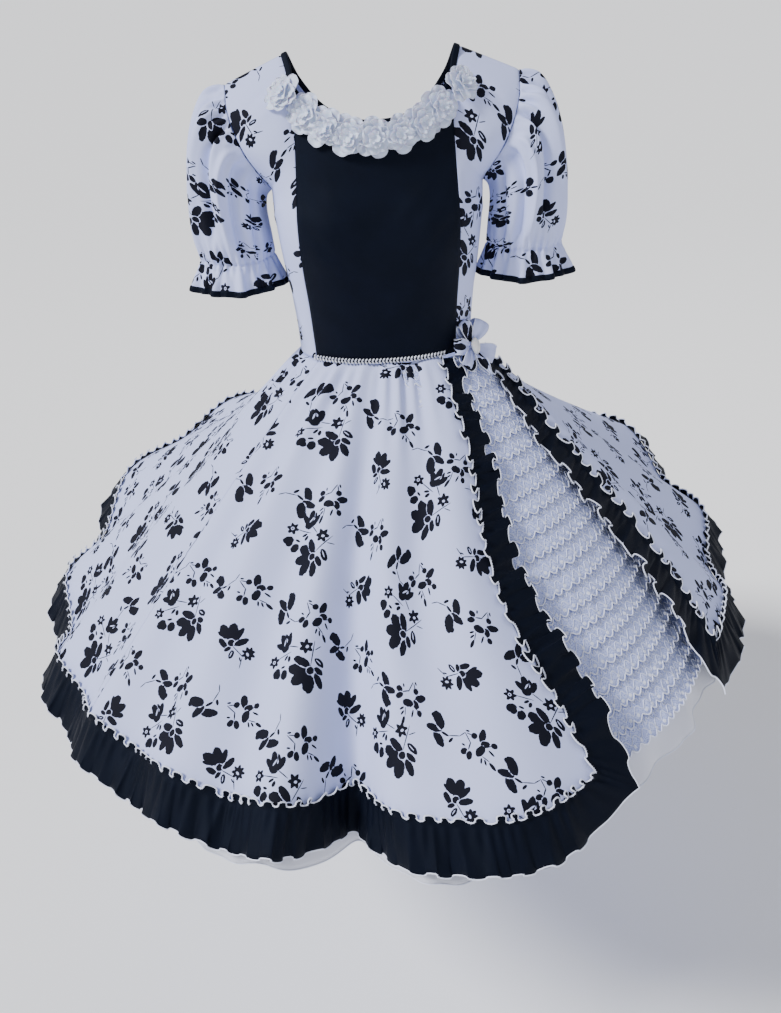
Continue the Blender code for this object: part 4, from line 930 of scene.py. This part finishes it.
def foldDepth(angle, share):
    total = np.zeros(np.broadcast(angle, share).shape)
    for centre, halfWidth, depth in skirt["folds"]:
        total = total + depth * bump(wrapped(angle - centre), halfWidth)
    return total * np.clip(share, 0, 2) ** skirt["foldEase"]


def bellPoint(angle, share, stand=0.0):
    first = waistRadius(angle)
    across, down = hemValue(angle, 1) - first, hemValue(angle, 2) - (waistZ - 0.5)
    length = np.hypot(across, down)
    out = hemValue(angle, 3) * np.sin(pi * np.clip(share, 0, 1) ** skirt["bellEase"]) + stand
    centre, halfWidth, depth, power = skirt["valley"]
    pushed = depth * bump(wrapped(angle - centre), halfWidth) * np.clip(share, 0, 2) ** power
    radius = first + across * share - down / length * out - pushed
    height = waistZ - 0.5 + down * share + across / length * out
    turn = np.radians(angle)
    return np.stack([radius * np.sin(turn), -radius * np.cos(turn), height], axis=-1)


def skirtGrid(hemAngles, rows):
    share = np.linspace(0, 1, rows)[:, None]
    table = np.array(skirt["slitRows"], float)
    first, last = skirt["gores"][0][1], skirt["gores"][-1][2]
    nearFront = ease(1 - (first - hemAngles) / skirt["swingReach"])
    nearBack = ease(1 - (hemAngles - last) / skirt["swingReach"])
    angle = hemAngles + curveThrough(share, table[:, 0], table[:, 1]) * nearFront
    angle = angle + curveThrough(share, table[:, 0], table[:, 2]) * nearBack
    stand = foldDepth(angle, share)
    turn = np.radians(hemAngles)
    puckers = np.sin(turn * skirt["puckerCount"] + 2 * np.sin(turn * 5)) * (0.7 + 0.5 * np.sin(turn * 9 + 1))
    stand = stand + skirt["puckerDepth"] * puckers * bump(share - 0.07, 0.13) * ease(share * 30)
    for centre, halfWidth, depth, deepest in skirt["softFolds"]:
        stand = stand + depth * bump(wrapped(hemAngles - centre), halfWidth) * bump(share - deepest, 0.42)
    return bellPoint(angle, share + 0 * angle, stand)


hemAngles = []
for _, first, last, columns in skirt["gores"]:
    hemAngles.append(np.linspace(first, last, columns * skirt["fineShare"] + 1)[:-1])
hemAngles = np.concatenate(hemAngles + [[skirt["gores"][-1][2]]])
skirtOuter = skirtGrid(hemAngles, skirt["fineRows"])
skirtOut = gridNormals(skirtOuter)
start = 0
for number, (side, first, last, columns) in enumerate(skirt["gores"]):
    end = start + columns * skirt["fineShare"]
    grid, out = skirtOuter[:, start:end + 1], skirtOut[:, start:end + 1]
    flat = laidFlat(grid) * (-1, 1)
    outer = seamDipped(grid, out, number > 0, number < 3)
    inner = outer - out * bodice["wall"]
    name = f"skirt{side}"
    mesh = shellMesh(name, [(outer, inner, flat + np.array([53.0, 29.0]) * number)])
    piece = addPiece(name, mesh, "printedPoplin", "printed_cloth", f"skirt_{side.lower()}")
    declareSheet(piece, flat)
    start = end


print("stage: ruffle")
ruffle = {
    "pitch": 32,
    "header": 7.2,
    "headerPitch": {"hem": 19, "slit": 25},
    "headerMeander": {"hem": 4.3, "slit": 5.6},
    "headerLean": {"hem": 2.0, "slit": 3.4},
    "headerStand": 3.6,
    "stitch": 1,
    "hemWidth": 58,
    "topWidth": 18,
    "edgeWave": 9,
    "edgeMeander": {"hem": 2.6, "slit": 6.8},
    "edgeLean": {"hem": 2.4, "slit": 4.6},
    "lift": 2.2,
    "droop": 0.45,
    "mitreReach": 90,
    "mitreRound": 0.72,
    "mitreGap": -0.4,
    "slitTop": 5,
    "perColumn": 8,
    "pucker": 1.7,
    "puckerPitch": 15,
    "cornerReach": 18,
    "wall": 0.8,
    "fullness": 1.8,  # the weave is drawn finer along the strip by this factor, as gathering shows it
}


def ruffleStrip(line, normals, inboard, droop, widths, ends, phase, kind):
    length = lengthAlong(line)
    total = length[-1]
    first = ruffle["slitTop"] if ends[0] == "open" else 0
    last = total - (ruffle["slitTop"] if ends[1] == "open" else 0)
    count = round((last - first) / ruffle["pitch"]) * 3
    at = np.linspace(first, last, count * ruffle["perColumn"] + 1)
    number = (at - first) / (last - first) * count + phase
    turn = 2 * pi * number / 3 + 0.5
    slow = np.sin(number * 0.83) + 0.6 * np.sin(number * 0.36 + 1)
    uneven = 0.75 + 0.25 * np.sin(number * 0.53)
    width = np.interp(at, length, widths)
    reach = ruffle["mitreReach"] / 2
    near = [bump(at, reach), bump(total - at, reach)]
    start, finish = [near[i] if ends[i] == "mitre" else 0 * at for i in range(2)]
    calm = np.clip(width / ruffle["hemWidth"], 0.3, 1) * (1 - 0.6 * (start + finish))
    free = ruffle["edgeWave"] * calm * uneven * (0.45 * np.sin(turn) + 0.55 * slow)
    headTurn = (2 * pi * at / ruffle["headerPitch"][kind] + 1.5 * np.sin(number * 0.31)
                + 0.8 * np.sin(number * 0.8 + phase) + 0.5 * np.sin(number * 1.7))
    sized = 0.5 + 0.65 * np.sin(number * 0.47 + 2) * np.sin(number * 0.19 + 0.6)
    pucker = ruffle["pucker"] * np.sin(2 * pi * at / ruffle["puckerPitch"] + 1.3 * slow)
    far = width * (1 - (1 - ruffle["mitreRound"]) * (start + finish))
    slack = 1 - 0.75 * (start + finish)
    free = free * (1 if kind == "hem" else 1.25)
    rows = []
    levels = [(share, inboard) for share in (-1.0, -0.75, -0.5, -0.25, 0.0)]
    levels += [(share, droop) for share in (0.06, 0.13, 0.21, 0.31, 0.43, 0.55, 0.67, 0.79, 0.9, 1.0)]
    for share, direction in levels:
        if share <= 0:
            edge = ruffle["header"] + ruffle["headerMeander"][kind] * np.cos(headTurn) * (0.6 + 0.6 * sized)
            offset = -ruffle["stitch"] + (edge - ruffle["stitch"]) * share
            height = ruffle["lift"] - ruffle["headerStand"] * (1 + np.sin(headTurn + 0.5)) * share
            lean = ruffle["headerLean"][kind] * (0.5 + sized) * np.sin(2 * headTurn) * share**2
        else:
            meander = ruffle["edgeMeander"][kind] * np.cos(turn + 0.6 * slow) * uneven * slack
            offset = -ruffle["stitch"] + (far + ruffle["stitch"]) * share + meander * share**1.5
            height = ruffle["lift"] + free * share**1.3 + pucker * math.exp(-share * 5) * share * 9
            lean = ruffle["edgeLean"][kind] * slack * np.sin(2 * (turn + 0.6 * slow)) * share**2
        inset = offset - ruffle["mitreGap"] / 2
        shifted = at + lean - inset * start + inset * finish
        edgeWays = [pointAt(shifted, length, way) for way in (line, direction, normals)]
        beyondFirst = np.minimum(shifted, 0)[:, None] * unit(line[3] - line[0])
        beyondLast = np.maximum(shifted - total, 0)[:, None] * unit(line[-1] - line[-4])
        base = edgeWays[0] + beyondFirst + beyondLast
        rows.append(base + unit(edgeWays[1]) * offset[:, None] + unit(edgeWays[2]) * height[:, None])
    return np.array(rows), at, length


def smoothedAlong(values, reach):  # evens out directions along an edge
    kernel = np.ones(reach * 2 + 1) / (reach * 2 + 1)
    padded = np.concatenate([values[:1].repeat(reach, 0), values, values[-1:].repeat(reach, 0)])
    return np.stack([np.convolve(padded[:, k], kernel, "valid") for k in range(values.shape[1])], axis=1)


share = np.linspace(0, 1, skirt["fineRows"])
narrow = ruffle["topWidth"] + (ruffle["hemWidth"] - ruffle["topWidth"]) * share**0.7
down = smoothedAlong(unit(skirtOuter[-1] - skirtOuter[-12]), 5)
hanging = unit(down + np.array([0, 0, -ruffle["droop"]]))
hemNormals = smoothedAlong(skirtOut[-1], 3)
wide = np.full(len(down), float(ruffle["hemWidth"]))
aside = smoothedAlong(unit(skirtOuter[:, 0] - skirtOuter[:, 6]), 3)
frontStrip, at, _ = ruffleStrip(
    skirtOuter[:, 0], skirtOut[:, 0], aside, aside, narrow, ("open", "mitre"), 0, "slit"
)
phase = (len(at) - 1) // ruffle["perColumn"]
hemStrip, at, length = ruffleStrip(
    skirtOuter[-1], hemNormals, down, hanging, wide, ("mitre", "mitre"), phase, "hem"
)
phase += (len(at) - 1) // ruffle["perColumn"]
seams = np.cumsum([gore[3] for gore in skirt["gores"]])[:-1] * skirt["fineShare"]
cuts = [int(np.abs(at - length[seam]).argmin()) for seam in seams]
aside = smoothedAlong(unit(skirtOuter[:, -1] - skirtOuter[:, -7]), 3)[::-1]
backStrip, _, _ = ruffleStrip(skirtOuter[::-1, -1], skirtOut[::-1, -1], aside, aside, narrow[::-1],
                              ("mitre", "open"), phase, "slit")
for left, right in ((frontStrip, hemStrip), (hemStrip, backStrip)):  # sewn together at the corner
    meeting = (left[:, -1] + right[:, 0]) / 2
    pulls = meeting - left[:, -1], meeting - right[:, 0]
    for k in range(ruffle["cornerReach"]):
        share = ease(1 - k / ruffle["cornerReach"])
        left[:, -1 - k] += pulls[0] * share
        right[:, k] += pulls[1] * share
edgePaths = []


def addRufflePiece(name, node, grid):
    normals = gridNormals(grid)
    inner = grid - normals * ruffle["wall"]
    along = lengthAlong(grid[3]) * ruffle["fullness"]
    across = lengthAlong(grid[:, grid.shape[1] // 2])
    mesh = shellMesh(name, [(grid, inner, flatPlaces(along[None, :], -across[:, None]))])
    piece = addPiece(name, mesh, "blackPoplin", "black_cloth", node)
    # the strip's two long edges, midway through its wall, are kept for the overlock thread
    middle = (grid + inner) / 2
    edgePaths.extend([middle[0], middle[-1]])


addRufflePiece("ruffleSlitFront", "ruffle_slit_front", frontStrip)
addRufflePiece("ruffleSlitBack", "ruffle_slit_back", backStrip)
last = hemStrip.shape[1] - 1
for (side, *_), start, end in zip(skirt["gores"], [0] + cuts, cuts + [last]):
    addRufflePiece(f"ruffleHem{side}", f"ruffle_hem_{side.lower()}", hemStrip[:, start:end + 1])


print("stage: underskirt")
under = {
    "gapTop": 2.3,
    "gapHem": 30,
    "foldShare": 0.6,
    "first": 0.006,
    "last": 1.0,
    "laceFirst": 12,
    "laceLast": 92,
    "tiers": 21,
    "laceStep": 4.2,
    "scallopPitch": 16,
    "scallopDeep": 7.5,
    "columnStep": 1.9,
    "echoes": (0.62, 0.34),  # where on a tier the finer cords run
    "flounceWaves": 24,
    "flounceWidth": 38,
    "flounceFront": (-14, 40, 30),  # angle, half width, extra width
    "flounceWave": 7,
    "flounceFine": 2.4,  # depth of the small waves between
    "flounceLean": 4.0,
    "flounceRows": 10,
    "flounceDroop": 0.5,
    "wall": 0.9,
    "laceWall": 0.5,
    "flounceWall": 0.5,
    "rows": 61,
    "ripple": (60, 2.0),  # waves round the plain part, depth at the hem
}


def underPoint(angle, share, stand=0.0):
    gap = under["gapTop"] + under["gapHem"] * np.clip(share, 0, 1) ** 0.8
    fold = foldDepth(angle, np.clip(share, 0, 1)) * under["foldShare"]
    return bellPoint(angle, share, stand + fold - gap)


def addUnderskirt(name, node, first, last, columns, waves, depth):
    angle = np.linspace(first, last, columns)[None, :]
    share = np.linspace(under["first"], under["last"], under["rows"])[:, None]
    stand = depth * np.sin(np.radians(angle) * waves) * share**1.4
    outer = underPoint(angle + 0 * share, share + 0 * angle, stand)
    flat = laidFlat(outer)
    mesh = shellMesh(name, [(outer, outer - gridNormals(outer) * under["wall"], flat)])
    declareSheet(addPiece(name, mesh, "whiteLace", "lace", node), flat)


plainLast = 360 + under["laceFirst"]
addUnderskirt("underskirtPlain", "underskirt_plain", under["laceLast"], plainLast, 260, *under["ripple"])
addUnderskirt("underskirtLace", "underskirt_lace", under["laceFirst"], under["laceLast"], 81, 0, 0)
tiers, tierSizes, scallopPaths, echoPaths, motifPoints, motifOut, motifDown = [], [], [], [], [], [], []
edges = np.linspace(under["first"], under["last"], under["tiers"] + 1)
for tier, (top, bottom) in enumerate(zip(edges[:-1], edges[1:])):
    even = np.linspace(under["laceFirst"], under["laceLast"], 60)
    ring = lengthAlong(underPoint(even, np.full(60, bottom)))
    count = max(24, int(ring[-1] / under["columnStep"]))
    along = np.linspace(0, ring[-1], count)
    angle = np.interp(along, ring, even)
    middle = angle[count // 2]
    fall = np.linalg.norm(underPoint(middle, np.array(bottom)) - underPoint(middle, np.array(top)))
    pitch = ring[-1] / max(3, round(ring[-1] / under["scallopPitch"]))
    phase = 0.5 * (tier % 2)
    drift = 0.22 * np.sin(along / 37 + tier * 2.1) + 0.12 * np.sin(along / 11 + tier)
    scallop = np.abs(np.sin(pi * (along / pitch + phase + drift))) ** 0.8
    ripple = np.sin(2 * pi * along / (pitch * 2.3) + tier * 1.7) + 0.6 * np.sin(2 * pi * along / 41 + tier)
    reach = (bottom - top) * (1.15 + under["scallopDeep"] * (scallop - 0.45) / fall)
    standing = under["laceStep"] * (0.45 + 0.55 * bottom) + 0.9 * ripple * (0.3 + 0.7 * bottom)
    grid = np.array([
        underPoint(angle, np.minimum(top + reach * step, 1.03), 0.35 + standing * step**1.3)
        for step in np.linspace(0, 1, 6)
    ])
    normals = gridNormals(grid)
    across = lengthAlong(grid[:, count // 2])
    flat = flatPlaces(along[None, :] * 1.5, -across[:, None] - tier * 30)
    tiers.append((grid, grid - normals * under["laceWall"], flat))
    scallopPaths.append(grid[-1] + normals[-1] * 0.2)
    for echo in under["echoes"]:
        sway = echo + 0.13 * np.sin(2 * pi * (along / pitch * (2 if echo < 0.5 else 1) + phase + drift))
        level = np.clip(sway, 0.05, 0.95) * (len(grid) - 1)
        low = level.astype(int)
        part = (level - low)[:, None]
        columns = np.arange(count)
        path = grid[low, columns] * (1 - part) + grid[low + 1, columns] * part
        echoPaths.append(path + normals[low, columns] * 0.3)
    for centre in np.arange((0.5 - phase) * pitch, ring[-1] - 3, pitch):
        column = int(round(centre / ring[-1] * (count - 1)))
        motifPoints.append(grid[4, column] + normals[4, column] * 0.3)
        motifOut.append(normals[4, column])
        motifDown.append(unit(grid[-1, column] - grid[0, column]))
    tierSizes.append((ring[-1] * mm, lengthAlong(grid[:, count // 2])[-1] * mm))
piece = addPiece("laceTiers", shellMesh("laceTiers", tiers), "whiteLace", "lace")


print("stage: edgings")
# Overlocked edges: a thread along the edge, and short stitches over it
edging = {
    "threadRadius": 0.95,
    "step": 2.6,
    "stitchStep": 3.4,
    "stitchLong": 3.0,
    "stitchRadius": 0.34,
    "stitchLean": 0.9,
}
edgingTree, given = newTree(
    "overlockEdge", ["Thread radius", "Step", "Stitch step", "Stitch length", "Stitch radius"]
)
line = addNode(edgingTree, "GeometryNodeMeshToCurve", {0: given["Geometry"]})
fine, spots = [
    addNode(edgingTree, "GeometryNodeResampleCurve", {"Curve": line.outputs[0], "Length": given[step]},
            mode="LENGTH").outputs[0]
    for step in ("Step", "Stitch step")
]
ring = addNode(edgingTree, "GeometryNodeCurvePrimitiveCircle",
               {"Resolution": 5, "Radius": given["Thread radius"]})
thread = addNode(edgingTree, "GeometryNodeCurveToMesh", {0: fine, 1: ring.outputs[0]})
tangent = addNode(edgingTree, "GeometryNodeInputTangent")
aim = addNode(edgingTree, "FunctionNodeAlignEulerToVector", {"Vector": tangent.outputs[0]}, axis="X")
lean = addNode(edgingTree, "FunctionNodeRotateEuler",
               {"Rotation": aim.outputs[0], "Angle": edging["stitchLean"], "Axis": (0, 0, 1)},
               rotation_type="AXIS_ANGLE", space="LOCAL")
stitch = addNode(edgingTree, "GeometryNodeMeshCylinder",
                 {"Vertices": 4, "Radius": given["Stitch radius"], "Depth": given["Stitch length"]},
                 fill_type="NGON")
stitches = copied(edgingTree, Points=spots, Instance=stitch.outputs[0], Rotation=lean.outputs[0])
endTree(edgingTree, joined(edgingTree, thread.outputs[0], stitches), "whiteThread")


def addEdging(name, paths, scale=1.0, spacing=1.0):
    sizes = {
        "Thread radius": edging["threadRadius"] * scale,
        "Step": edging["step"] * spacing,
        "Stitch step": edging["stitchStep"] * spacing,
        "Stitch length": edging["stitchLong"] * scale,
        "Stitch radius": edging["stitchRadius"] * scale,
    }
    sizes = {key: size * mm for key, size in sizes.items()}
    bakedPiece(name, pathsMesh(name + "Path", paths), edgingTree, sizes, "whiteThread")


addEdging("ruffleOverlock", edgePaths)

# Corded edges of the lace scallops, from the same tree with a finer thread
addEdging("laceScallopEdges", scallopPaths, 0.95)
addEdging("laceCords", echoPaths, 0.55, 1.5)

# A small embroidered ring flower in each scallop
motifSizes = {"Ring radius": 2.3 * mm, "Thread radius": 0.42 * mm, "Petal reach": 1.1 * mm}
motifTree, given = newTree("laceMotif", list(motifSizes))
hoopLine, hoopThread, around = [
    addNode(motifTree, "GeometryNodeCurvePrimitiveCircle",
            {"Resolution": sides, "Radius": given[size]}).outputs[0]
    for sides, size in ((12, "Ring radius"), (4, "Thread radius"), (5, "Petal reach"))
]
hoop = addNode(motifTree, "GeometryNodeCurveToMesh", {0: hoopLine, 1: hoopThread})
petal = addNode(motifTree, "GeometryNodeMeshUVSphere",
                {"Segments": 6, "Rings": 4, "Radius": given["Thread radius"]})
petals = copied(motifTree, Points=around, Instance=petal.outputs[0], Scale=(2.4, 2.4, 1.0))
motif = joined(motifTree, hoop.outputs[0], petals)
endTree(motifTree, facingCopies(motifTree, given["Geometry"], motif, "Y"), "whiteThread")
spots = pathsMesh("laceMotifSpots", [np.array(motifPoints)], {"out": motifOut, "down": motifDown})
bakedPiece("laceEmbroidery", spots, motifTree, motifSizes, "whiteThread")

print("stage: flounce")
count = under["flounceWaves"] * 3
angle = np.linspace(0, 360, count * 8, endpoint=False)
number = angle / 360 * count
top = underPoint(angle, np.full(len(angle), under["last"]))
above = underPoint(angle, np.full(len(angle), under["last"] - 0.05))
down = unit(top - above)
begin = top + down * 1.0
hanging = unit(down + np.array([0, 0, -under["flounceDroop"]]))
turn = number * 2 * pi / 3
wave = np.sin(turn) * (0.8 + 0.2 * np.sin(number * 0.7))
fineWave = np.sin(turn * 2.5 + 1.5 * np.sin(number * 0.4))
away = unit(begin * (1, 1, 0))
middle, halfWidth, more = under["flounceFront"]
width = under["flounceWidth"] + more * bump(wrapped(angle - middle), halfWidth)
rows = []
sideways = np.cross(away, hanging)
for step in np.linspace(0, 1, under["flounceRows"]):
    sway = under["flounceWave"] * wave * step + under["flounceFine"] * fineWave * step**1.2
    lean = under["flounceLean"] * np.cos(turn) * step**1.5
    rows.append(begin + hanging * (width * step)[:, None] + away * sway[:, None] + sideways * lean[:, None])
outer = np.array(rows)
inner = outer - gridNormals(outer, True) * under["flounceWall"]
ringLong = np.linalg.norm(np.diff(outer, axis=1), axis=2).sum(axis=1).mean()
along = np.linspace(0, ringLong, outer.shape[1] + 1)
across = np.linspace(0, under["flounceWidth"], under["flounceRows"])
flat = flatPlaces(along[None, :], -across[:, None])
mesh = shellMesh("organzaFlounce", [(outer, inner, flat)], True)
piece = addPiece("organzaFlounce", mesh, "whiteOrganza", "organza", "underskirt_flounce")
addEdging("flounceRolledEdge", [np.concatenate([outer[-1], outer[-1][:1]])], 0.6)


print("stage: neck flowers")
flowers = {
    "count": 9,
    "inset": 8.5,
    "seed": 7,
    # petals in a layer, reach, width, height of the base, height of the tip, curl at the rim
    "layers": [
        (6, 27, 23, 1.2, 5, 1.6), (6, 22, 19, 3.5, 9.5, 2.6), (5, 15, 14, 6, 13.5, 2.8),
        (4, 9, 9, 9, 15.5, 1.6),
    ],
    "wall": 0.35,
}
half = bodice["centreColumns"] // 2 + 1
line = np.concatenate([mirrored(neckPoints[1:half][::-1]), neckPoints[:half]])
lineAway = np.concatenate([mirrored(neckAway[1:half][::-1]), neckAway[:half]])
length = lengthAlong(line)
dice = np.random.default_rng(flowers["seed"])
petalRims = []
for number, where in enumerate(np.linspace(0, length[-1], flowers["count"]), start=1):
    point = pointAt(where, length, line)
    up = unit(pointAt(where, length, lineAway))
    out = bodiceOutward(point - up * flowers["inset"])
    out = unit(out - up * np.dot(out, up))
    across = np.cross(up, out)
    centre = point - up * flowers["inset"]
    base = ((solidPoints(f"neck_flower_{number}") - centre) @ out).min()
    petals = []
    for layer, (many, reach, wide, low, high, curl) in enumerate(flowers["layers"]):
        for k in range(many):
            turn = 2 * pi * (k + 0.5 * (layer % 2)) / many + dice.uniform(-0.2, 0.2) + number
            spoke = math.cos(turn) * across + math.sin(turn) * up
            aside = math.cos(turn) * up - math.sin(turn) * across
            pointed = layer == 0 and k == number % 6 and number % 3 == 0
            along = np.linspace(0, 1, 9)[:, None]
            beside = np.linspace(-1, 1, 9)[None, :]
            profile = np.sqrt(np.clip(1 - (2 * along - 1.16) ** 2 / 1.36, 0, 1)) * wide / 2
            if pointed:
                profile = profile * (1 - ease(along * 1.3 - 0.3)) + 0.3
            size = dice.uniform(0.88, 1.08)
            tilt = dice.uniform(-1.0, 1.8)
            ruff = dice.uniform(0.8, 2.0) * np.sin(beside * 4.5 + dice.uniform(0, 6)) * along**2
            height = (low + (high + tilt - low) * along**1.4 + curl * beside**2 * along + ruff
                      - curl * 0.9 * along**6)
            radial = reach * size * along * (1 - 0.10 * beside**2)
            place = (centre + spoke * radial[..., None] + aside * (profile * beside * size)[..., None]
                     + out * (base + np.maximum(height, 0.4))[..., None])
            flat = flatPlaces(along * reach, beside * wide / 2)
            petals.append((place, place - out * flowers["wall"], flat))
            if layer < 3:
                petalRims.append(np.concatenate([place[2:, 0], place[-1, 1:-1], place[2:, -1][::-1]]))
    name = f"neckFlower{number}"
    addPiece(name, shellMesh(name, petals), "whiteChiffon", "chiffon", f"neck_flower_{number}")
addEdging("petalRims", petalRims, 0.36)


print("stage: braid")
braid = {"first": -58, "last": 49, "gap": 3.4, "rise": 4.0, "pitch": 4.8, "rowApart": 3.9, "lean": 0.85,
         "bead": (2.9, 1.3, 1.5)}
angle = np.linspace(braid["first"], braid["last"], 400)
turn = np.radians(angle)
radius = waistRadius(angle) + braid["gap"]
level = np.full(len(angle), waistZ + braid["rise"])
ringPath = np.stack([radius * np.sin(turn), -radius * np.cos(turn), level], axis=1)
length = lengthAlong(ringPath)
spots, outs, downs = [], [], []
for where in np.arange(1.5, length[-1] - 1, braid["pitch"]):
    point = pointAt(where, length, ringPath)
    out = unit(point * (1, 1, 0))
    side = np.cross([0, 0, 1], out)
    for way in (1, -1):
        spots.append(point + np.array([0, 0, way * braid["rowApart"] / 2]))
        outs.append(out)
        downs.append(side * math.cos(braid["lean"]) + np.array([0, 0, way * math.sin(braid["lean"])]))
braidTree, given = newTree("gimpBraid", ["Bead size"])
bead = addNode(braidTree, "GeometryNodeMeshIcoSphere", {"Radius": given["Bead size"], "Subdivisions": 2})
beads = facingCopies(braidTree, given["Geometry"], bead.outputs[0], "X", braid["bead"])
endTree(braidTree, beads, "silverGimp")
source = pathsMesh("braidSpots", [np.array(spots)], {"out": outs, "down": downs})
bakedPiece("waistBraid", source, braidTree, {"Bead size": 1.0 * mm}, "silverGimp", "braid", "waist_braid")


print("stage: bow")
bow = {
    "angle": 68,
    "facing": 36,
    "tilt": 0.3,
    "drop": -2,
    # turn, length, width, belly, lean
    "loops": [
        (112, 33, 20, 8, 4), (58, 31, 26, 9, 3), (-36, 30, 26, 9, 3), (170, 27, 22, 9, 3),
        (-78, 40, 19, 5, 9), (-138, 30, 24, 8, 8),
    ],
    "start": 7.2,
    "root": 0.39,
    "pointed": (5,),
    # where on the printed cloth each ribbon is cut
    "cut": [(46, 74), (106, 58), (188, 132), (252, 118), (331, 176), (42, 196)],
    "buttonHalf": (7, 12, 5),
}
facing = math.radians(bow["facing"])
out = unit(np.array([math.sin(facing), -math.cos(facing), bow["tilt"]]))
across = unit(np.cross([0, 0, 1.0], out))
up = np.cross(out, across)
turn = math.radians(bow["angle"])
centre = np.array([math.sin(turn), -math.cos(turn), 0]) * waistRadius(bow["angle"])
centre = centre + np.array([0, 0, waistZ - bow["drop"]])
bowEdges = []
for number, (angle, long, wide, belly, lean) in enumerate(bow["loops"], start=1):
    turn = math.radians(angle)
    reach = math.cos(turn) * across + math.sin(turn) * up
    side = -math.sin(turn) * across + math.cos(turn) * up
    step = np.linspace(0, 2 * pi, 64, endpoint=False)[None, :]
    share = (1 - np.cos(step)) / 2
    beside = np.linspace(-1, 1, 21)[:, None]
    fullWidth = bow["root"] + (1 - bow["root"]) * np.sin(share * pi * 0.7)
    if number in bow["pointed"]:
        fullWidth = fullWidth * (1 - 0.8 * ease(share * 1.6 - 0.6))
    pleat = 2.2 * np.cos(beside * 5 + number) * (1 - share) + 1.3 * np.cos(beside * 6 + number * 2)
    height = (belly * np.sin(step) * (0.35 + 0.65 * share) + lean * 1.5 * share
              + pleat * (0.3 + 0.7 * (1 - share)))
    along = bow["start"] + long * share * (1 - 0.06 * beside**2)
    grid = (centre + reach * along[..., None] + out * height[..., None]
            + side * (beside * wide / 2 * fullWidth)[..., None])
    solid = solidPoints(f"bow_loop_{number}")
    lift = ((solid - centre) @ out).max() - ((grid - centre) @ out).max()
    grid = grid + out * lift
    inner = grid - unit(grid - grid.mean(axis=1, keepdims=True)) * 0.9
    flat = flatPlaces(beside * wide / 2, step * long / pi)
    extended = np.concatenate([flat, flat[:, :1] + (0, 2 * long)], axis=1)
    name = f"bowLoop{number}"
    mesh = shellMesh(name, [(grid, inner, extended + bow["cut"][number - 1])], True)
    addPiece(name, mesh, "printedPoplin", "printed_cloth", f"bow_loop_{number}")
    bowEdges += [grid[0], grid[-1]]
addEdging("bowEdges", bowEdges, 0.55)

solid = solidPoints("bow_button")
middle = (solid.min(0) + solid.max(0)) / 2
halfWide, halfHigh, halfDeep = bow["buttonHalf"]
work = bmesh.new()
bmesh.ops.create_uvsphere(work, u_segments=48, v_segments=24, radius=1.0)
for vertex in work.verts:
    x, y, z = vertex.co
    z = math.copysign(abs(z) ** 1.25, z)
    place = middle + across * x * halfWide + up * y * halfHigh + out * z * halfDeep
    vertex.co = Vector(place * mm)
bmesh.ops.recalc_face_normals(work, faces=work.faces)
mesh = bpy.data.meshes.new("bowButton")
work.to_mesh(mesh)
work.free()
addPiece("bowButton", mesh, "pearlButton", "button", "bow_button")


print("stage: floor, light and camera")
studio = {
    "floorZ": -1450,
    "camera": (11, -1700, 220),
    "yaw": -0.29,
    "pitch": -22.86,
    "roll": -3.01,
    "focalPixels": 1265,
    "framePixels": 1013,
    "shiftPixels": -106.5,
    "worldStrength": 0.55,
    "sunStrength": 4.3,
    "sunAngle": 14,
    "sunFrom": (-1.15, -0.5, 1.2),
}
work = bmesh.new()
bmesh.ops.create_grid(work, x_segments=1, y_segments=1, size=40.0)
mesh = bpy.data.meshes.new("floor")
work.to_mesh(mesh)
work.free()
mesh.transform(Matrix.Translation((0, 0, studio["floorZ"] * mm)))
newMaterial("paleFloor", "F2F2F2", Roughness=0.9)
floor = newObject("floor", mesh, "paleFloor")
floor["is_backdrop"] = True

camera = bpy.data.cameras.new("camera")
camera.sensor_width = 36
camera.lens = 36 * studio["focalPixels"] / studio["framePixels"]
camera.shift_y = studio["shiftPixels"] / studio["framePixels"]
camera.clip_end = 200
yaw, pitch, roll = [math.radians(studio[key]) for key in ("yaw", "pitch", "roll")]
ahead = Vector((math.sin(yaw) * math.cos(pitch), math.cos(yaw) * math.cos(pitch), math.sin(pitch)))
right = Vector((math.cos(yaw), -math.sin(yaw), 0))
above = right.cross(ahead)
along, aside = math.cos(roll), math.sin(roll)
right, above = right * along + above * aside, above * along - right * aside
holder = inScene("camera", camera)
turned = Matrix((right, above, -ahead)).transposed().to_4x4()
holder.matrix_world = Matrix.Translation(Vector(studio["camera"]) * mm) @ turned
scene.camera = holder

world = bpy.data.worlds.new("studio")
scene.world = world
world.use_nodes = True
world.node_tree.nodes["Background"].inputs["Color"].default_value = hexColour("F4F6FF")
world.node_tree.nodes["Background"].inputs["Strength"].default_value = studio["worldStrength"]
# name, size and watts of each soft lamp, and where it hangs, in metres
for name, size, power, place in (("fill", 2.4, 12, (2.4, -1.8, 0.6)), ("back", 2.0, 20, (0.6, 2.6, 1.6))):
    lamp = bpy.data.lights.new(name, "AREA")
    lamp.size, lamp.energy = size, power
    holder = inScene(name, lamp)
    holder.location = place
    holder.rotation_euler = (Vector((0, 0, -0.5)) - Vector(place)).to_track_quat("-Z", "Y").to_euler()
lamp = bpy.data.lights.new("key", "SUN")
lamp.energy, lamp.angle = studio["sunStrength"], math.radians(studio["sunAngle"])
holder = inScene("key", lamp)
holder.rotation_euler = (-Vector(studio["sunFrom"])).to_track_quat("-Z", "Y").to_euler()


low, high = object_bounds()
